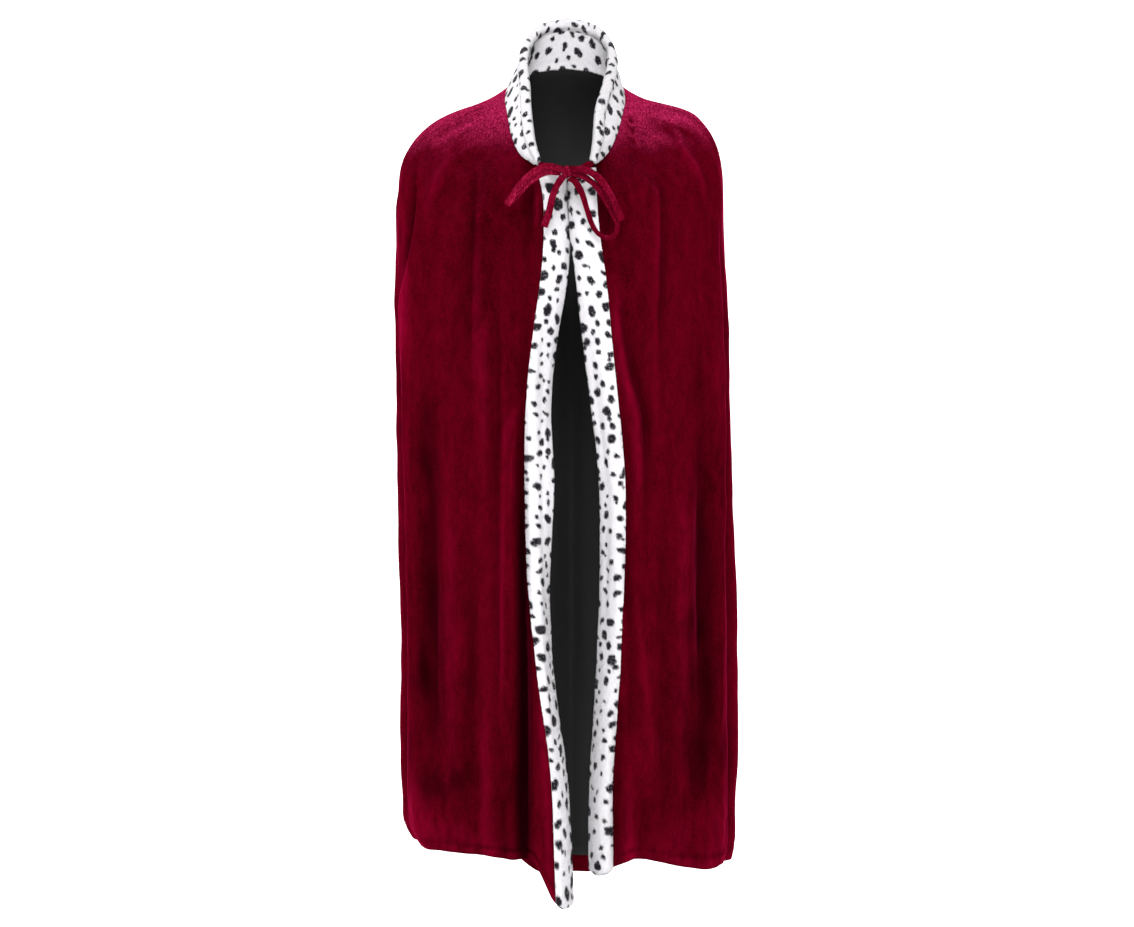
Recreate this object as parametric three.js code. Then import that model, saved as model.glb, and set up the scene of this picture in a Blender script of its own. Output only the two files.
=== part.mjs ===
// Royal mantle: a long velvet cape with a standing spotted-fur collar, spotted-fur front edges, a plain
// dark lining and two velvet ties knotted in a bow. It keeps the hollow form it has when worn.
// Millimetres, +Z up, the front faces -Y. The origin is the middle of the neck, level with the
// sides of the neckline, where the wearer's shoulders and neck carry the weight.
// "right" and "left" are the wearer's, so the right front is at -X.

import * as THREE from "three";

// ---------------------------------------------------------------- driving dimensions
const VELVET = 1.6; // thickness of the pile cloth
const LINING = 1.0; // thickness of the lining cloth
const SEAM_GAP = 0.45; // clearance between pieces that are sewn together
const FUR = 4.5; // backing and pile of the fur cloth
const TRIM_OUT = 46; // width of the fur band on the outside of a front edge
const TRIM_CHORD = 44.7; // straight width of the band across its own curve
const TRIM_BELOW = 11; // how far the fur reaches past the hem
const TURN_UP = 22; // depth of the hem turned up inside
const COLLAR_START = 41; // the collar begins this far along the neckline from each front edge
const RIM_BAND = 20; // the outer collar is turned over its top edge by this much
const RIM_HALF = 9.5; // half the thickness of that padded top edge
const TIE_W = 11; // width of a tie
const TIE_T = 3.2; // thickness of a tie

// ---------------------------------------------------------------- small tools
const lerp = (a, b, t) => a + (b - a) * t;
const clamp01 = (t) => Math.min(1, Math.max(0, t));
const smooth = (t) => {
  const k = clamp01(t);
  return k * k * (3 - 2 * k);
};
const V = (x, y, z) => new THREE.Vector3(x, y, z);

// Point at a share of the length of a polyline.
function alongLine(line, distance) {
  const { points, sums } = line;
  const total = sums[sums.length - 1];
  const d = Math.min(total, Math.max(0, distance));
  let i = 1;
  while (i < sums.length - 1 && sums[i] < d) i++;
  const t = (d - sums[i - 1]) / Math.max(1e-9, sums[i] - sums[i - 1]);
  return points[i - 1].clone().lerp(points[i], t);
}
function measured(points) {
  const sums = [0];
  for (let i = 1; i < points.length; i++)
    sums.push(sums[i - 1] + points[i].distanceTo(points[i - 1]));
  return { points, sums, length: sums[sums.length - 1] };
}

// ---------------------------------------------------------------- sections of the cape
// One row for each section, from the neckline down. share is the way down the cloth; sideR and sideL are the half
// widths, sideY, frontY and backY the plan; frontZ, sideR_Z, sideL_Z and backZ the heights; nFront and nBack how
// square the plan is; dip says how sharply the height changes towards the back's middle.
const SECTIONS = [
  // share  sideR sideL sideY frontY backY frontZ sideR_Z sideL_Z backZ nFront nBack dip
  { share: 0.05, sideR: 150, sideL: 152, sideY: -6, frontY: -112, backY: 98, frontZ: -183, sideR_Z: -14, sideL_Z: -9, backZ: 2, nFront: 2.05, nBack: 2.05, dip: 1 },
  { share: 0.1, sideR: 212, sideL: 214, sideY: -2, frontY: -122, backY: 115, frontZ: -239, sideR_Z: -37, sideL_Z: -27, backZ: -64, nFront: 2.2, nBack: 2.2, dip: 1.2 },
  { share: 0.145, sideR: 254, sideL: 247, sideY: 0, frontY: -129, backY: 122, frontZ: -290, sideR_Z: -72, sideL_Z: -69, backZ: -126, nFront: 2.3, nBack: 2.3, dip: 1.3 },
  { share: 0.19, sideR: 275, sideL: 259, sideY: 1, frontY: -134, backY: 126, frontZ: -341, sideR_Z: -128, sideL_Z: -128, backZ: -188, nFront: 2.35, nBack: 2.35, dip: 1.5 },
  { share: 0.25, sideR: 279, sideL: 261, sideY: 2, frontY: -138, backY: 129, frontZ: -408, sideR_Z: -214, sideL_Z: -216, backZ: -272, nFront: 2.35, nBack: 2.3, dip: 1.8 },
  { share: 0.34, sideR: 282, sideL: 269, sideY: 3, frontY: -141, backY: 132, frontZ: -508, sideR_Z: -336, sideL_Z: -338, backZ: -398, nFront: 2.35, nBack: 2.3, dip: 2 },
  { share: 0.46, sideR: 276, sideL: 274, sideY: 4, frontY: -144, backY: 136, frontZ: -641, sideR_Z: -500, sideL_Z: -502, backZ: -566, nFront: 2.35, nBack: 2.25, dip: 2.4 },
  { share: 0.6, sideR: 270, sideL: 273, sideY: 5, frontY: -147, backY: 142, frontZ: -796, sideR_Z: -692, sideL_Z: -694, backZ: -760, nFront: 2.35, nBack: 2.25, dip: 2.8 },
  { share: 0.74, sideR: 265, sideL: 276, sideY: 6, frontY: -150, backY: 149, frontZ: -951, sideR_Z: -884, sideL_Z: -886, backZ: -952, nFront: 2.35, nBack: 2.2, dip: 3.2 },
  { share: 0.88, sideR: 266, sideL: 277, sideY: 7, frontY: -153, backY: 157, frontZ: -1105, sideR_Z: -1072, sideL_Z: -1074, backZ: -1144, nFront: 2.35, nBack: 2.2, dip: 3.6 },
  { share: 1, sideR: 259, sideL: 275, sideY: 8, frontY: -156, backY: 165, frontZ: -1236, sideR_Z: -1226, sideL_Z: -1254, backZ: -1309, nFront: 2.35, nBack: 2.2, dip: 14 },
];

// Where the two front edges hang. X is the edge, wide how much of the fur band faces the front; the rest of its
// width curls back into the hollow.
const EDGES = [
  // share  right front (at -X)  left front (at +X)
  { share: 0, rX: -2.4, rWide: 36, lX: 8.0, lWide: 41 },
  { share: 0.03, rX: -1.6, rWide: 35, lX: 8.8, lWide: 40 },
  { share: 0.11, rX: 4.4, rWide: 37, lX: 12.8, lWide: 42 },
  { share: 0.165, rX: -0.5, rWide: 37, lX: 21, lWide: 43 },
  { share: 0.25, rX: -16, rWide: 34, lX: 31, lWide: 42 },
  { share: 0.34, rX: -26, rWide: 33, lX: 44, lWide: 39 },
  { share: 0.46, rX: -21, rWide: 40, lX: 58, lWide: 37 },
  { share: 0.58, rX: -26, rWide: 30, lX: 60, lWide: 32 },
  { share: 0.68, rX: -31, rWide: 20, lX: 56, lWide: 33 },
  { share: 0.8, rX: -10, rWide: 21, lX: 49, lWide: 32 },
  { share: 0.91, rX: 3, rWide: 21, lX: 41, lWide: 30 },
  { share: 1, rX: 11, rWide: 24, lX: 41, lWide: 32 },
];

// The neckline, from the middle of the front round one side to the middle of the back; x is mirrored for the
// other side. It is the ring where the collar is sewn on, and its front is much lower than its back.
const NECKLINE = [
  { x: 0, y: -100, z: -127 },
  { x: 41, y: -95, z: -124 },
  { x: 65, y: -81, z: -107 },
  { x: 82, y: -59, z: -74 },
  { x: 93, y: -30, z: -32 },
  { x: 97, y: 2, z: -3 },
  { x: 88, y: 35, z: 29 },
  { x: 59, y: 61, z: 52 },
  { x: 0, y: 74, z: 63 },
];

// The collar's top edge, from its front end to the middle of the back.
const RIM_RIGHT = [
  { x: -43, y: -114, z: -120 },
  { x: -53, y: -102, z: -84 },
  { x: -59, y: -78, z: -32 },
  { x: -62, y: -47, z: 16 },
  { x: -66, y: -8, z: 60 },
  { x: -60, y: 28, z: 98 },
  { x: -38, y: 55, z: 127 },
  { x: 5, y: 66, z: 139 },
];
const RIM_LEFT = [
  { x: 45, y: -114, z: -119 },
  { x: 50, y: -102, z: -84 },
  { x: 53, y: -78, z: -32 },
  { x: 66, y: -47, z: 14 },
  { x: 76, y: -8, z: 58 },
  { x: 73, y: 28, z: 96 },
  { x: 50, y: 55, z: 125 },
  { x: 5, y: 66, z: 139 },
];

// The largest folds. Each is a ridge (deep above 0) or a trough (below 0) that runs down the cloth from topZ to
// endZ, its middle going from topX to endX; half is its half width and fade how gently its ends run out.
const FOLDS = [
  { face: "front", topX: -46, endX: -50, topZ: -440, endZ: -1300, half: 15, deep: 7, fade: 240 },
  { face: "front", topX: -64, endX: -70, topZ: -560, endZ: -1320, half: 16, deep: -15, fade: 200 },
  { face: "front", topX: -90, endX: -96, topZ: -330, endZ: -1180, half: 16, deep: 8, fade: 200 },
  { face: "front", topX: -148, endX: -152, topZ: -150, endZ: -760, half: 17, deep: -6, fade: 120 },
  { face: "front", topX: -222, endX: -212, topZ: -420, endZ: -1190, half: 26, deep: -9, fade: 200 },
  { face: "front", topX: -262, endX: -276, topZ: -110, endZ: -330, half: 14, deep: -8, fade: 70 },
  { face: "front", topX: 80, endX: 118, topZ: -260, endZ: -760, half: 15, deep: 7, fade: 120 },
  { face: "front", topX: 104, endX: 140, topZ: -330, endZ: -880, half: 14, deep: -7, fade: 150 },
  { face: "front", topX: 158, endX: 150, topZ: -150, endZ: -820, half: 17, deep: -6, fade: 120 },
  { face: "front", topX: 226, endX: 232, topZ: -420, endZ: -1190, half: 26, deep: -9, fade: 200 },
  { face: "front", topX: 84, endX: 86, topZ: -1080, endZ: -1320, half: 22, deep: -8, fade: 110 },
  { face: "back", topX: -30, endX: -54, topZ: -60, endZ: -1400, half: 34, deep: -15, fade: 260 },
  { face: "back", topX: 46, endX: 70, topZ: -110, endZ: -1400, half: 30, deep: -13, fade: 300 },
  { face: "back", topX: -112, endX: -146, topZ: -160, endZ: -1400, half: 30, deep: -12, fade: 300 },
  { face: "back", topX: 128, endX: 168, topZ: -170, endZ: -1400, half: 32, deep: -13, fade: 260 },
  { face: "back", topX: 6, endX: 8, topZ: -240, endZ: -1400, half: 30, deep: 8, fade: 320 },
  { face: "back", topX: -200, endX: -226, topZ: -240, endZ: -1400, half: 24, deep: -9, fade: 260 },
];
// How far the front corners hang below the hem, and over what width and share of the length.
const CORNER = { right: 67, left: 14, flat: 42, width: 30, from: 0.86 };
// Where the front hem rises or dips: x of the middle, the height and the half width.
const HEM_WAVES = [
  { x: -160, up: 6.5, half: 75 },
  { x: 110, up: 5, half: 22 },
  { x: 225, up: -17, half: 46 },
];

// ---------------------------------------------------------------- the surface
const STRIP = 0.1; // this share of each half ring is the width of the fur band
const rowAt = (table, share) => {
  let i = 1;
  while (i < table.length - 1 && table[i].share < share) i++;
  const a = table[i - 1],
    b = table[i],
    before = table[Math.max(0, i - 2)],
    after = table[Math.min(table.length - 1, i + 1)];
  const t = (share - a.share) / (b.share - a.share);
  const row = {};
  for (const name of Object.keys(a)) {
    const h = b.share - a.share;
    const ma = ((b[name] - before[name]) / Math.max(1e-9, b.share - before.share)) * h;
    const mb = ((after[name] - a[name]) / Math.max(1e-9, after.share - a.share)) * h;
    const t2 = t * t,
      t3 = t2 * t;
    row[name] =
      (2 * t3 - 3 * t2 + 1) * a[name] +
      (t3 - 2 * t2 + t) * ma +
      (3 * t2 - 2 * t3) * b[name] +
      (t3 - t2) * mb;
  }
  return row;
};

// A section's half ring as a line from the front edge to the middle of the back. side is -1 for the wearer's
// right, at -X, and +1 for the left.
function halfSection(section, side) {
  const edge = rowAt(EDGES, section.share);
  const wide = side < 0 ? edge.rWide : edge.lWide;
  const edgeX = side < 0 ? edge.rX : edge.lX;
  const halfWidth = side < 0 ? section.sideR : section.sideL;
  const sideZ = side < 0 ? section.sideR_Z : section.sideL_Z;
  const crestX = edgeX + side * wide;
  const onFront = (x) => {
    const c = Math.pow(
      Math.max(0, 1 - Math.pow(Math.abs(x) / halfWidth, section.nFront)),
      1 / section.nFront,
    );
    return V(
      x,
      lerp(section.sideY, section.frontY, c),
      lerp(sideZ, section.frontZ, Math.pow(c, 1.15)),
    );
  };
  const points = [];
  const crest = onFront(crestX);
  // The band is an arc of its own width, from the edge to the crest.
  const deep = Math.sqrt(Math.max(9, TRIM_CHORD ** 2 - wide ** 2));
  const chord = Math.hypot(wide, deep),
    lean = Math.atan2(deep, wide);
  let half = 0.01;
  while (Math.sin(half) / half > chord / TRIM_OUT && half < 1.4) half += 0.002;
  const radius = chord / 2 / Math.sin(half);
  for (let i = 0; i < 12; i++) {
    const a = lean + half - (2 * half * i) / 12; // the slope of the band there
    points.push(
      V(
        crestX - side * radius * (Math.sin(a) - Math.sin(lean - half)),
        crest.y + radius * (Math.cos(lean - half) - Math.cos(a)),
        crest.z,
      ),
    );
  }
  const from = Math.asin(
    Math.pow(Math.min(1, Math.abs(crestX) / halfWidth), section.nFront / 2),
  );
  for (let i = 0; i <= 26; i++) {
    const a = lerp(from, Math.PI / 2, i / 26);
    points.push(onFront(side * halfWidth * Math.pow(Math.sin(a), 2 / section.nFront)));
  }
  for (let i = 1; i <= 30; i++) {
    const a = lerp(Math.PI / 2, 0, i / 30);
    const c = Math.pow(Math.cos(a), 2 / section.nBack);
    points.push(
      V(
        side * halfWidth * Math.pow(Math.sin(a), 2 / section.nBack),
        lerp(section.sideY, section.backY, c),
        lerp(sideZ, section.backZ, Math.pow(c, section.dip)),
      ),
    );
  }
  return measured(points);
}
const WIDER_RIGHT = [0, 1, 5, 3, 0, 0, 0, 0, 0]; // the right half of the neckline lies this much further out
function halfNeckline(side) {
  const edgeX = side < 0 ? EDGES[0].rX : EDGES[0].lX;
  const curve = new THREE.CatmullRomCurve3(
    NECKLINE.map((p, i) => V(i ? side * (p.x + (side < 0 ? WIDER_RIGHT[i] : 0)) : edgeX, p.y, p.z)),
    false,
    "centripetal",
  );
  return measured(curve.getPoints(90));
}
const HALVES = new Map(
  [-1, 1].map((side) => [
    side,
    [
      { share: 0, line: halfNeckline(side) },
      ...SECTIONS.map((s) => ({ share: s.share, line: halfSection(s, side) })),
    ],
  ]),
);

// column runs from 0 at the front edge to 1 at the middle of the back; the first STRIP of it is the fur band.
function onRing(ring, column) {
  const d =
    column < STRIP
      ? (TRIM_OUT * column) / STRIP
      : lerp(TRIM_OUT, ring.line.length, (column - STRIP) / (1 - STRIP));
  return alongLine(ring.line, d);
}

function foldAt(x, z, face) {
  let sum = 0;
  for (const f of FOLDS) {
    if (f.face !== face) continue;
    const t = (f.topZ - z) / (f.topZ - f.endZ);
    const middle = lerp(f.topX, f.endX, t);
    const across = (x - middle) / f.half;
    const ends =
      smooth((f.topZ - z) / f.fade) * smooth((z - f.endZ) / (f.endZ < -1250 ? 1 : f.fade));
    sum += f.deep * Math.exp(-across * across) * ends;
  }
  return sum;
}

function bare(side, column, share) {
  const rings = HALVES.get(side);
  let i = 1;
  while (i < rings.length - 1 && rings[i].share < share) i++;
  const a = rings[i - 1],
    b = rings[i],
    before = rings[Math.max(0, i - 2)],
    after = rings[Math.min(rings.length - 1, i + 1)];
  const t = (share - a.share) / (b.share - a.share),
    h = b.share - a.share;
  const pa = onRing(a, column),
    pb = onRing(b, column);
  const ma = onRing(b, column)
    .sub(onRing(before, column))
    .multiplyScalar(h / Math.max(1e-9, b.share - before.share));
  const mb = onRing(after, column)
    .sub(onRing(a, column))
    .multiplyScalar(h / Math.max(1e-9, after.share - a.share));
  const t2 = t * t,
    t3 = t2 * t;
  return pa
    .multiplyScalar(2 * t3 - 3 * t2 + 1)
    .addScaledVector(ma, t3 - 2 * t2 + t)
    .addScaledVector(pb, 3 * t2 - 2 * t3)
    .addScaledVector(mb, t3 - t2);
}

// around runs from -1 at the right front edge through 0 at the middle of the back to 1 at the left front edge.
function cape(around, share) {
  const side = around < 0 ? -1 : 1;
  const column = 1 - Math.abs(around);
  const p = bare(side, column, share);
  const step = 0.006;
  const near = bare(side, Math.min(1, column + step), share);
  const far = bare(side, Math.max(0, column - step), share);
  const out = V(near.y - far.y, far.x - near.x, 0).multiplyScalar(side);
  if (out.lengthSq() < 1e-9) out.set(0, p.y < 0 ? -1 : 1, 0);
  out.normalize();
  const face = p.y < 0 ? "front" : "back";
  const fromSide = smooth(Math.abs(p.y) / 60);
  p.addScaledVector(out, foldAt(p.x, p.z, face) * fromSide);
  const width = (column * TRIM_OUT) / STRIP;
  if (column < 2 * STRIP)
    p.z -=
      (side < 0 ? CORNER.right : CORNER.left) *
      (1 - smooth((width - CORNER.flat) / CORNER.width)) *
      Math.pow(clamp01((share - CORNER.from) / (1 - CORNER.from)), 1.5);
  const low = Math.pow(clamp01((share - 0.9) / 0.1), 1.5) * smooth((35 - p.y) / 40);
  let rise = 0;
  for (const w of HEM_WAVES) rise += w.up * Math.exp(-(((p.x - w.x) / w.half) ** 2));
  p.z += low * rise;
  return p;
}
function capeNormal(around, share) {
  const e = 0.008,
    f = 0.008;
  const a = cape(Math.max(-1, around - e), share),
    b = cape(Math.min(1, around + e), share);
  const c = cape(around, Math.max(0, share - f)),
    d = cape(around, share + f);
  return c.sub(d).cross(b.sub(a)).normalize();
}

// ---------------------------------------------------------------- walls
function meshOf(points, triangles) {
  const g = new THREE.BufferGeometry();
  g.setAttribute(
    "position",
    new THREE.Float32BufferAttribute(points.flatMap((p) => [p.x, p.y, p.z]), 3),
  );
  g.setIndex(triangles);
  g.computeVertexNormals();
  return g;
}
// A closed wall between two grids of points with the same rows and columns; the first is the outside.
function wall(outside, inside) {
  const rows = outside.length,
    cols = outside[0].length,
    points = [...outside.flat(), ...inside.flat()],
    tri = [];
  const at = (layer, r, c) => layer * rows * cols + r * cols + c;
  for (let r = 0; r < rows - 1; r++)
    for (let c = 0; c < cols - 1; c++) {
      const o = [at(0, r, c), at(0, r + 1, c), at(0, r + 1, c + 1), at(0, r, c + 1)];
      const i = [at(1, r, c), at(1, r + 1, c), at(1, r + 1, c + 1), at(1, r, c + 1)];
      tri.push(o[0], o[1], o[2], o[0], o[2], o[3]);
      tri.push(i[0], i[2], i[1], i[0], i[3], i[2]);
    }
  const edge = (a, b, c, d) => tri.push(a, c, b, b, c, d); // a-b on the outside, c-d on the inside
  for (let c = 0; c < cols - 1; c++) {
    edge(at(0, 0, c + 1), at(0, 0, c), at(1, 0, c + 1), at(1, 0, c));
    edge(at(0, rows - 1, c), at(0, rows - 1, c + 1), at(1, rows - 1, c), at(1, rows - 1, c + 1));
  }
  for (let r = 0; r < rows - 1; r++) {
    edge(at(0, r, 0), at(0, r + 1, 0), at(1, r, 0), at(1, r + 1, 0));
    edge(at(0, r + 1, cols - 1), at(0, r, cols - 1), at(1, r + 1, cols - 1), at(1, r, cols - 1));
  }
  return meshOf(points, tri);
}
// A closed solid from a row of closed profiles with the same number of points. The quads that start at the
// profile points in other are split along their other diagonal.
function sweep(profiles, other = []) {
  const n = profiles[0].length,
    points = profiles.flat(),
    tri = [];
  for (let k = 0; k < profiles.length - 1; k++)
    for (let i = 0; i < n; i++) {
      const j = (i + 1) % n,
        a = k * n + i,
        b = k * n + j,
        c = (k + 1) * n + i,
        d = (k + 1) * n + j;
      if (other.includes(i)) tri.push(a, b, c, b, d, c);
      else tri.push(a, b, d, a, d, c);
    }
  const cap = (k, turned) => {
    const profile = profiles[k];
    const middle = profile
      .reduce((s, p) => s.add(p), V(0, 0, 0))
      .multiplyScalar(1 / n);
    // A frame in the profile's own plane, so that a bent profile is cut into triangles as drawn.
    const normal = V(0, 0, 0);
    for (let i = 0; i < n; i++)
      normal.add(
        profile[i].clone().sub(middle).cross(profile[(i + 1) % n].clone().sub(middle)),
      );
    normal.normalize();
    const ex = profile[0].clone().sub(middle);
    ex.addScaledVector(normal, -ex.dot(normal)).normalize();
    const ey = normal.clone().cross(ex);
    const flat = profile.map((p) => {
      const q = p.clone().sub(middle);
      return new THREE.Vector2(q.dot(ex), q.dot(ey));
    });
    for (const [a, b, c] of THREE.ShapeUtils.triangulateShape(flat, []))
      tri.push(...(turned ? [k * n + a, k * n + c, k * n + b] : [k * n + a, k * n + b, k * n + c]));
  };
  cap(0, true);
  cap(profiles.length - 1, false);
  const g = meshOf(points, tri);
  return volumeOf(g) < 0 ? flipped(g) : g;
}
function volumeOf(g) {
  const p = g.getAttribute("position"),
    t = g.getIndex().array;
  let sum = 0;
  const a = V(0, 0, 0),
    b = V(0, 0, 0),
    c = V(0, 0, 0);
  for (let i = 0; i < t.length; i += 3) {
    a.fromBufferAttribute(p, t[i]);
    b.fromBufferAttribute(p, t[i + 1]);
    c.fromBufferAttribute(p, t[i + 2]);
    sum += a.dot(b.cross(c)) / 6;
  }
  return sum;
}
function flipped(g) {
  const t = Array.from(g.getIndex().array);
  for (let i = 0; i < t.length; i += 3) [t[i + 1], t[i + 2]] = [t[i + 2], t[i + 1]];
  g.setIndex(t);
  g.computeVertexNormals();
  return g;
}
const outward = (g) => (volumeOf(g) < 0 ? flipped(g) : g);

// ---------------------------------------------------------------- materials
const velvet = new THREE.MeshStandardMaterial({ color: 0x7a0619, roughness: 0.75, metalness: 0 });
const velvetTie = new THREE.MeshStandardMaterial({ color: 0x86081f, roughness: 0.7, metalness: 0 });
const furCloth = new THREE.MeshStandardMaterial({ color: 0xf1eef2, roughness: 0.95, metalness: 0 });
const liningCloth = new THREE.MeshStandardMaterial({ color: 0x1d1d1e, roughness: 0.85, metalness: 0 });

const mantle = new THREE.Group();
const add = (name, geometry, material) => {
  const mesh = new THREE.Mesh(outward(geometry), material);
  mesh.name = name;
  mantle.add(mesh);
};

// ---------------------------------------------------------------- velvet and lining panels
const ROWS = [0, 0.006, 0.03, 0.06, 0.09, 0.12, 0.15, 0.19, 0.25, 0.33, 0.43, 0.54, 0.65, 0.76, 0.87];
const HEM_ROWS = [1 - (TURN_UP + 4) / 1250, 1 - TURN_UP / 1250, 1];
const SIDE_SEAM = 0.55; // column of the side seams, just behind the sides
const FRONT_COLUMNS = [
  0, 1 / 3, 2 / 3, 1, // the fur band
].map((f) => f * STRIP).concat(
  [0.05, 0.11, 0.18, 0.26, 0.36, 0.48, 0.62, 0.8, 1].map(
    (f) => STRIP + f * (SIDE_SEAM - STRIP),
  ),
);
const BACK_STEPS = 16;
const SEAM = 0.00035; // half the gap at a side seam, as a share of a half ring

// A panel's grid of points with their normals, over arounds and shares.
const grid = (arounds, shares) =>
  shares.map((share) =>
    arounds.map((around) => ({
      p: cape(around, share),
      n: capeNormal(around, share),
      around,
      share,
    })),
  );
const moved = (g, depth) =>
  g.map((row) =>
    row.map((q) => q.p.clone().addScaledVector(q.n, -(depth instanceof Function ? depth(q) : depth))),
  );

const panels = {
  front_right: FRONT_COLUMNS.map((c, i) => -(1 - c) - (i === FRONT_COLUMNS.length - 1 ? SEAM : 0)),
  back: Array.from({ length: BACK_STEPS + 1 }, (_, i) => {
    const a = lerp(-(1 - SIDE_SEAM), 1 - SIDE_SEAM, i / BACK_STEPS);
    return a + (i === 0 ? SEAM : i === BACK_STEPS ? -SEAM : 0);
  }),
  front_left: FRONT_COLUMNS.map((c, i) => 1 - c + (i === FRONT_COLUMNS.length - 1 ? SEAM : 0)),
};
const inside = VELVET + SEAM_GAP; // depth of the lining's outer face
for (const [name, arounds] of Object.entries(panels)) {
  const shell = grid(arounds, [...ROWS, ...HEM_ROWS]);
  // The hem is turned up inside, so the wall is two layers thick below the lining.
  add(
    name,
    wall(
      moved(shell, 0),
      moved(shell, (q) => (q.share > HEM_ROWS[0] + 1e-6 ? inside + LINING : VELVET)),
    ),
    velvet,
  );
  const lined = grid(arounds, [...ROWS, HEM_ROWS[0] - 0.0012]);
  add("lining_" + name, wall(moved(lined, inside), moved(lined, inside + LINING)), liningCloth);
}

// ---------------------------------------------------------------- fur bands on the front edges
const within = inside + LINING + SEAM_GAP; // depth of the band's inner leaf
const BAND_SHARES = [...ROWS.slice(1), ...HEM_ROWS, 1 + TRIM_BELOW / 1180];
function band(side) {
  return BAND_SHARES.map((share) => {
    const at = (width) => {
      const around = side * (1 - (width / TRIM_OUT) * STRIP);
      return { p: cape(around, share), n: capeNormal(around, share) };
    };
    const widths = [TRIM_OUT, (TRIM_OUT * 2) / 3, TRIM_OUT / 3, 0].map(at);
    const edge = widths[3];
    const e = edge.p.clone().sub(at(TRIM_OUT / 12).p);
    e.addScaledVector(edge.n, -e.dot(edge.n)).normalize();
    const put = (q, depth, past = 0) => q.p.clone().addScaledVector(q.n, -depth).addScaledVector(e, past);
    const full = share > 1 ? 0.75 : 1; // the pile rounds off below the hem
    const outer = -(SEAM_GAP + FUR * full),
      inner = within + (FUR - 1) * full;
    return [
      put(widths[0], outer + 1.4),
      put(widths[1], outer),
      put(widths[2], outer),
      put(widths[3], outer),
      put(edge, outer + 3.0, 3.6),
      put(edge, (outer + inner) / 2, SEAM_GAP + FUR - 0.6),
      put(edge, inner - 2.6, 3.4),
      put(widths[3], inner),
      put(widths[2], inner),
      put(widths[1], inner - 1.2),
      put(widths[1], within),
      put(widths[2], within),
      put(widths[3], within),
      put(edge, within + 0.15, SEAM_GAP),
      put(edge, -SEAM_GAP, SEAM_GAP),
      put(widths[3], -SEAM_GAP),
      put(widths[2], -SEAM_GAP),
      put(widths[1], -SEAM_GAP),
      put(widths[0], -SEAM_GAP),
    ];
  });
}
add("trim_right", sweep(band(-1), [0, 1, 2, 10, 11]), furCloth);
add("trim_left", sweep(band(1), [0, 1, 2, 10, 11]), furCloth);

// ---------------------------------------------------------------- collar
const neck = {
  "-1": halfNeckline(-1),
  1: halfNeckline(1),
};
const rimLine = {
  "-1": measured(new THREE.CatmullRomCurve3(RIM_RIGHT.map((p) => V(p.x, p.y, p.z)), false, "centripetal").getPoints(90)),
  1: measured(new THREE.CatmullRomCurve3(RIM_LEFT.map((p) => V(p.x, p.y, p.z)), false, "centripetal").getPoints(90)),
};
// s runs from -1 at the collar's right front end to 1 at its left one.
function collarFrame(s) {
  const side = s < 0 ? -1 : 1;
  const t = 1 - Math.abs(s);
  const base = alongLine(neck[side], lerp(COLLAR_START, neck[side].length, t));
  const rim = alongLine(rimLine[side], t * rimLine[side].length);
  return { base, rim };
}
function collarSection(s) {
  const { base, rim } = collarFrame(s);
  const e = 0.02;
  const before = collarFrame(Math.max(-1, s - e)),
    after = collarFrame(Math.min(1, s + e));
  const along = after.base.clone().add(after.rim).sub(before.base).sub(before.rim).normalize();
  const up = rim.clone().sub(base);
  const high = up.length();
  up.normalize();
  const out = along.clone().cross(up).normalize();
  if (out.dot(V(base.x, base.y + 10, 0)) < 0) out.negate();
  const put = (m, w) => base.clone().addScaledVector(out, m).addScaledVector(up, w);
  return { put, high };
}
const COLLAR_STEPS = 24;
const COLLAR_LEVELS = [0, 0.33, 0.67, 1];
const collarAt = Array.from({ length: COLLAR_STEPS + 1 }, (_, i) => {
  const s = -1 + (2 * i) / COLLAR_STEPS;
  return Math.abs(s) < 1e-6 ? 1e-6 : s;
});
const G = SEAM_GAP / 2 + 0.05;
// The collar stands on the neck edge of the panels: its lowest points clear the velvet that runs out from the
// edge and the lining under it. m is the distance out from the collar's middle surface.
function collarFoot(s, put, m) {
  const side = s < 0 ? -1 : 1;
  const { base } = collarFrame(s);
  const reach = measuredAround(side, base);
  const around = side * (1 - reach);
  const n = capeNormal(around, 0);
  const t = cape(around, 0.02).sub(cape(around, 0)).normalize();
  const o = put(0, 0),
    ex = put(1, 0).sub(o),
    ey = put(0, 1).sub(o);
  const A = [0, 0];
  const q = n.clone().multiplyScalar(-(inside + LINING));
  const B = [q.dot(ex), q.dot(ey)];
  const T = [t.dot(ex), t.dot(ey)];
  let w = 0;
  for (const from of [A, B]) {
    const k = (m - from[0]) / (Math.abs(T[0]) < 0.02 ? 0.02 : T[0]);
    if (k > 0 && k < 30) w = Math.max(w, from[1] + k * T[1]);
  }
  const k = (m - A[0]) / (B[0] - A[0] || 1);
  if (k > -0.3 && k < 1.3) w = Math.max(w, clamp01(k) * B[1]);
  return w + 0.9;
}
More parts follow.
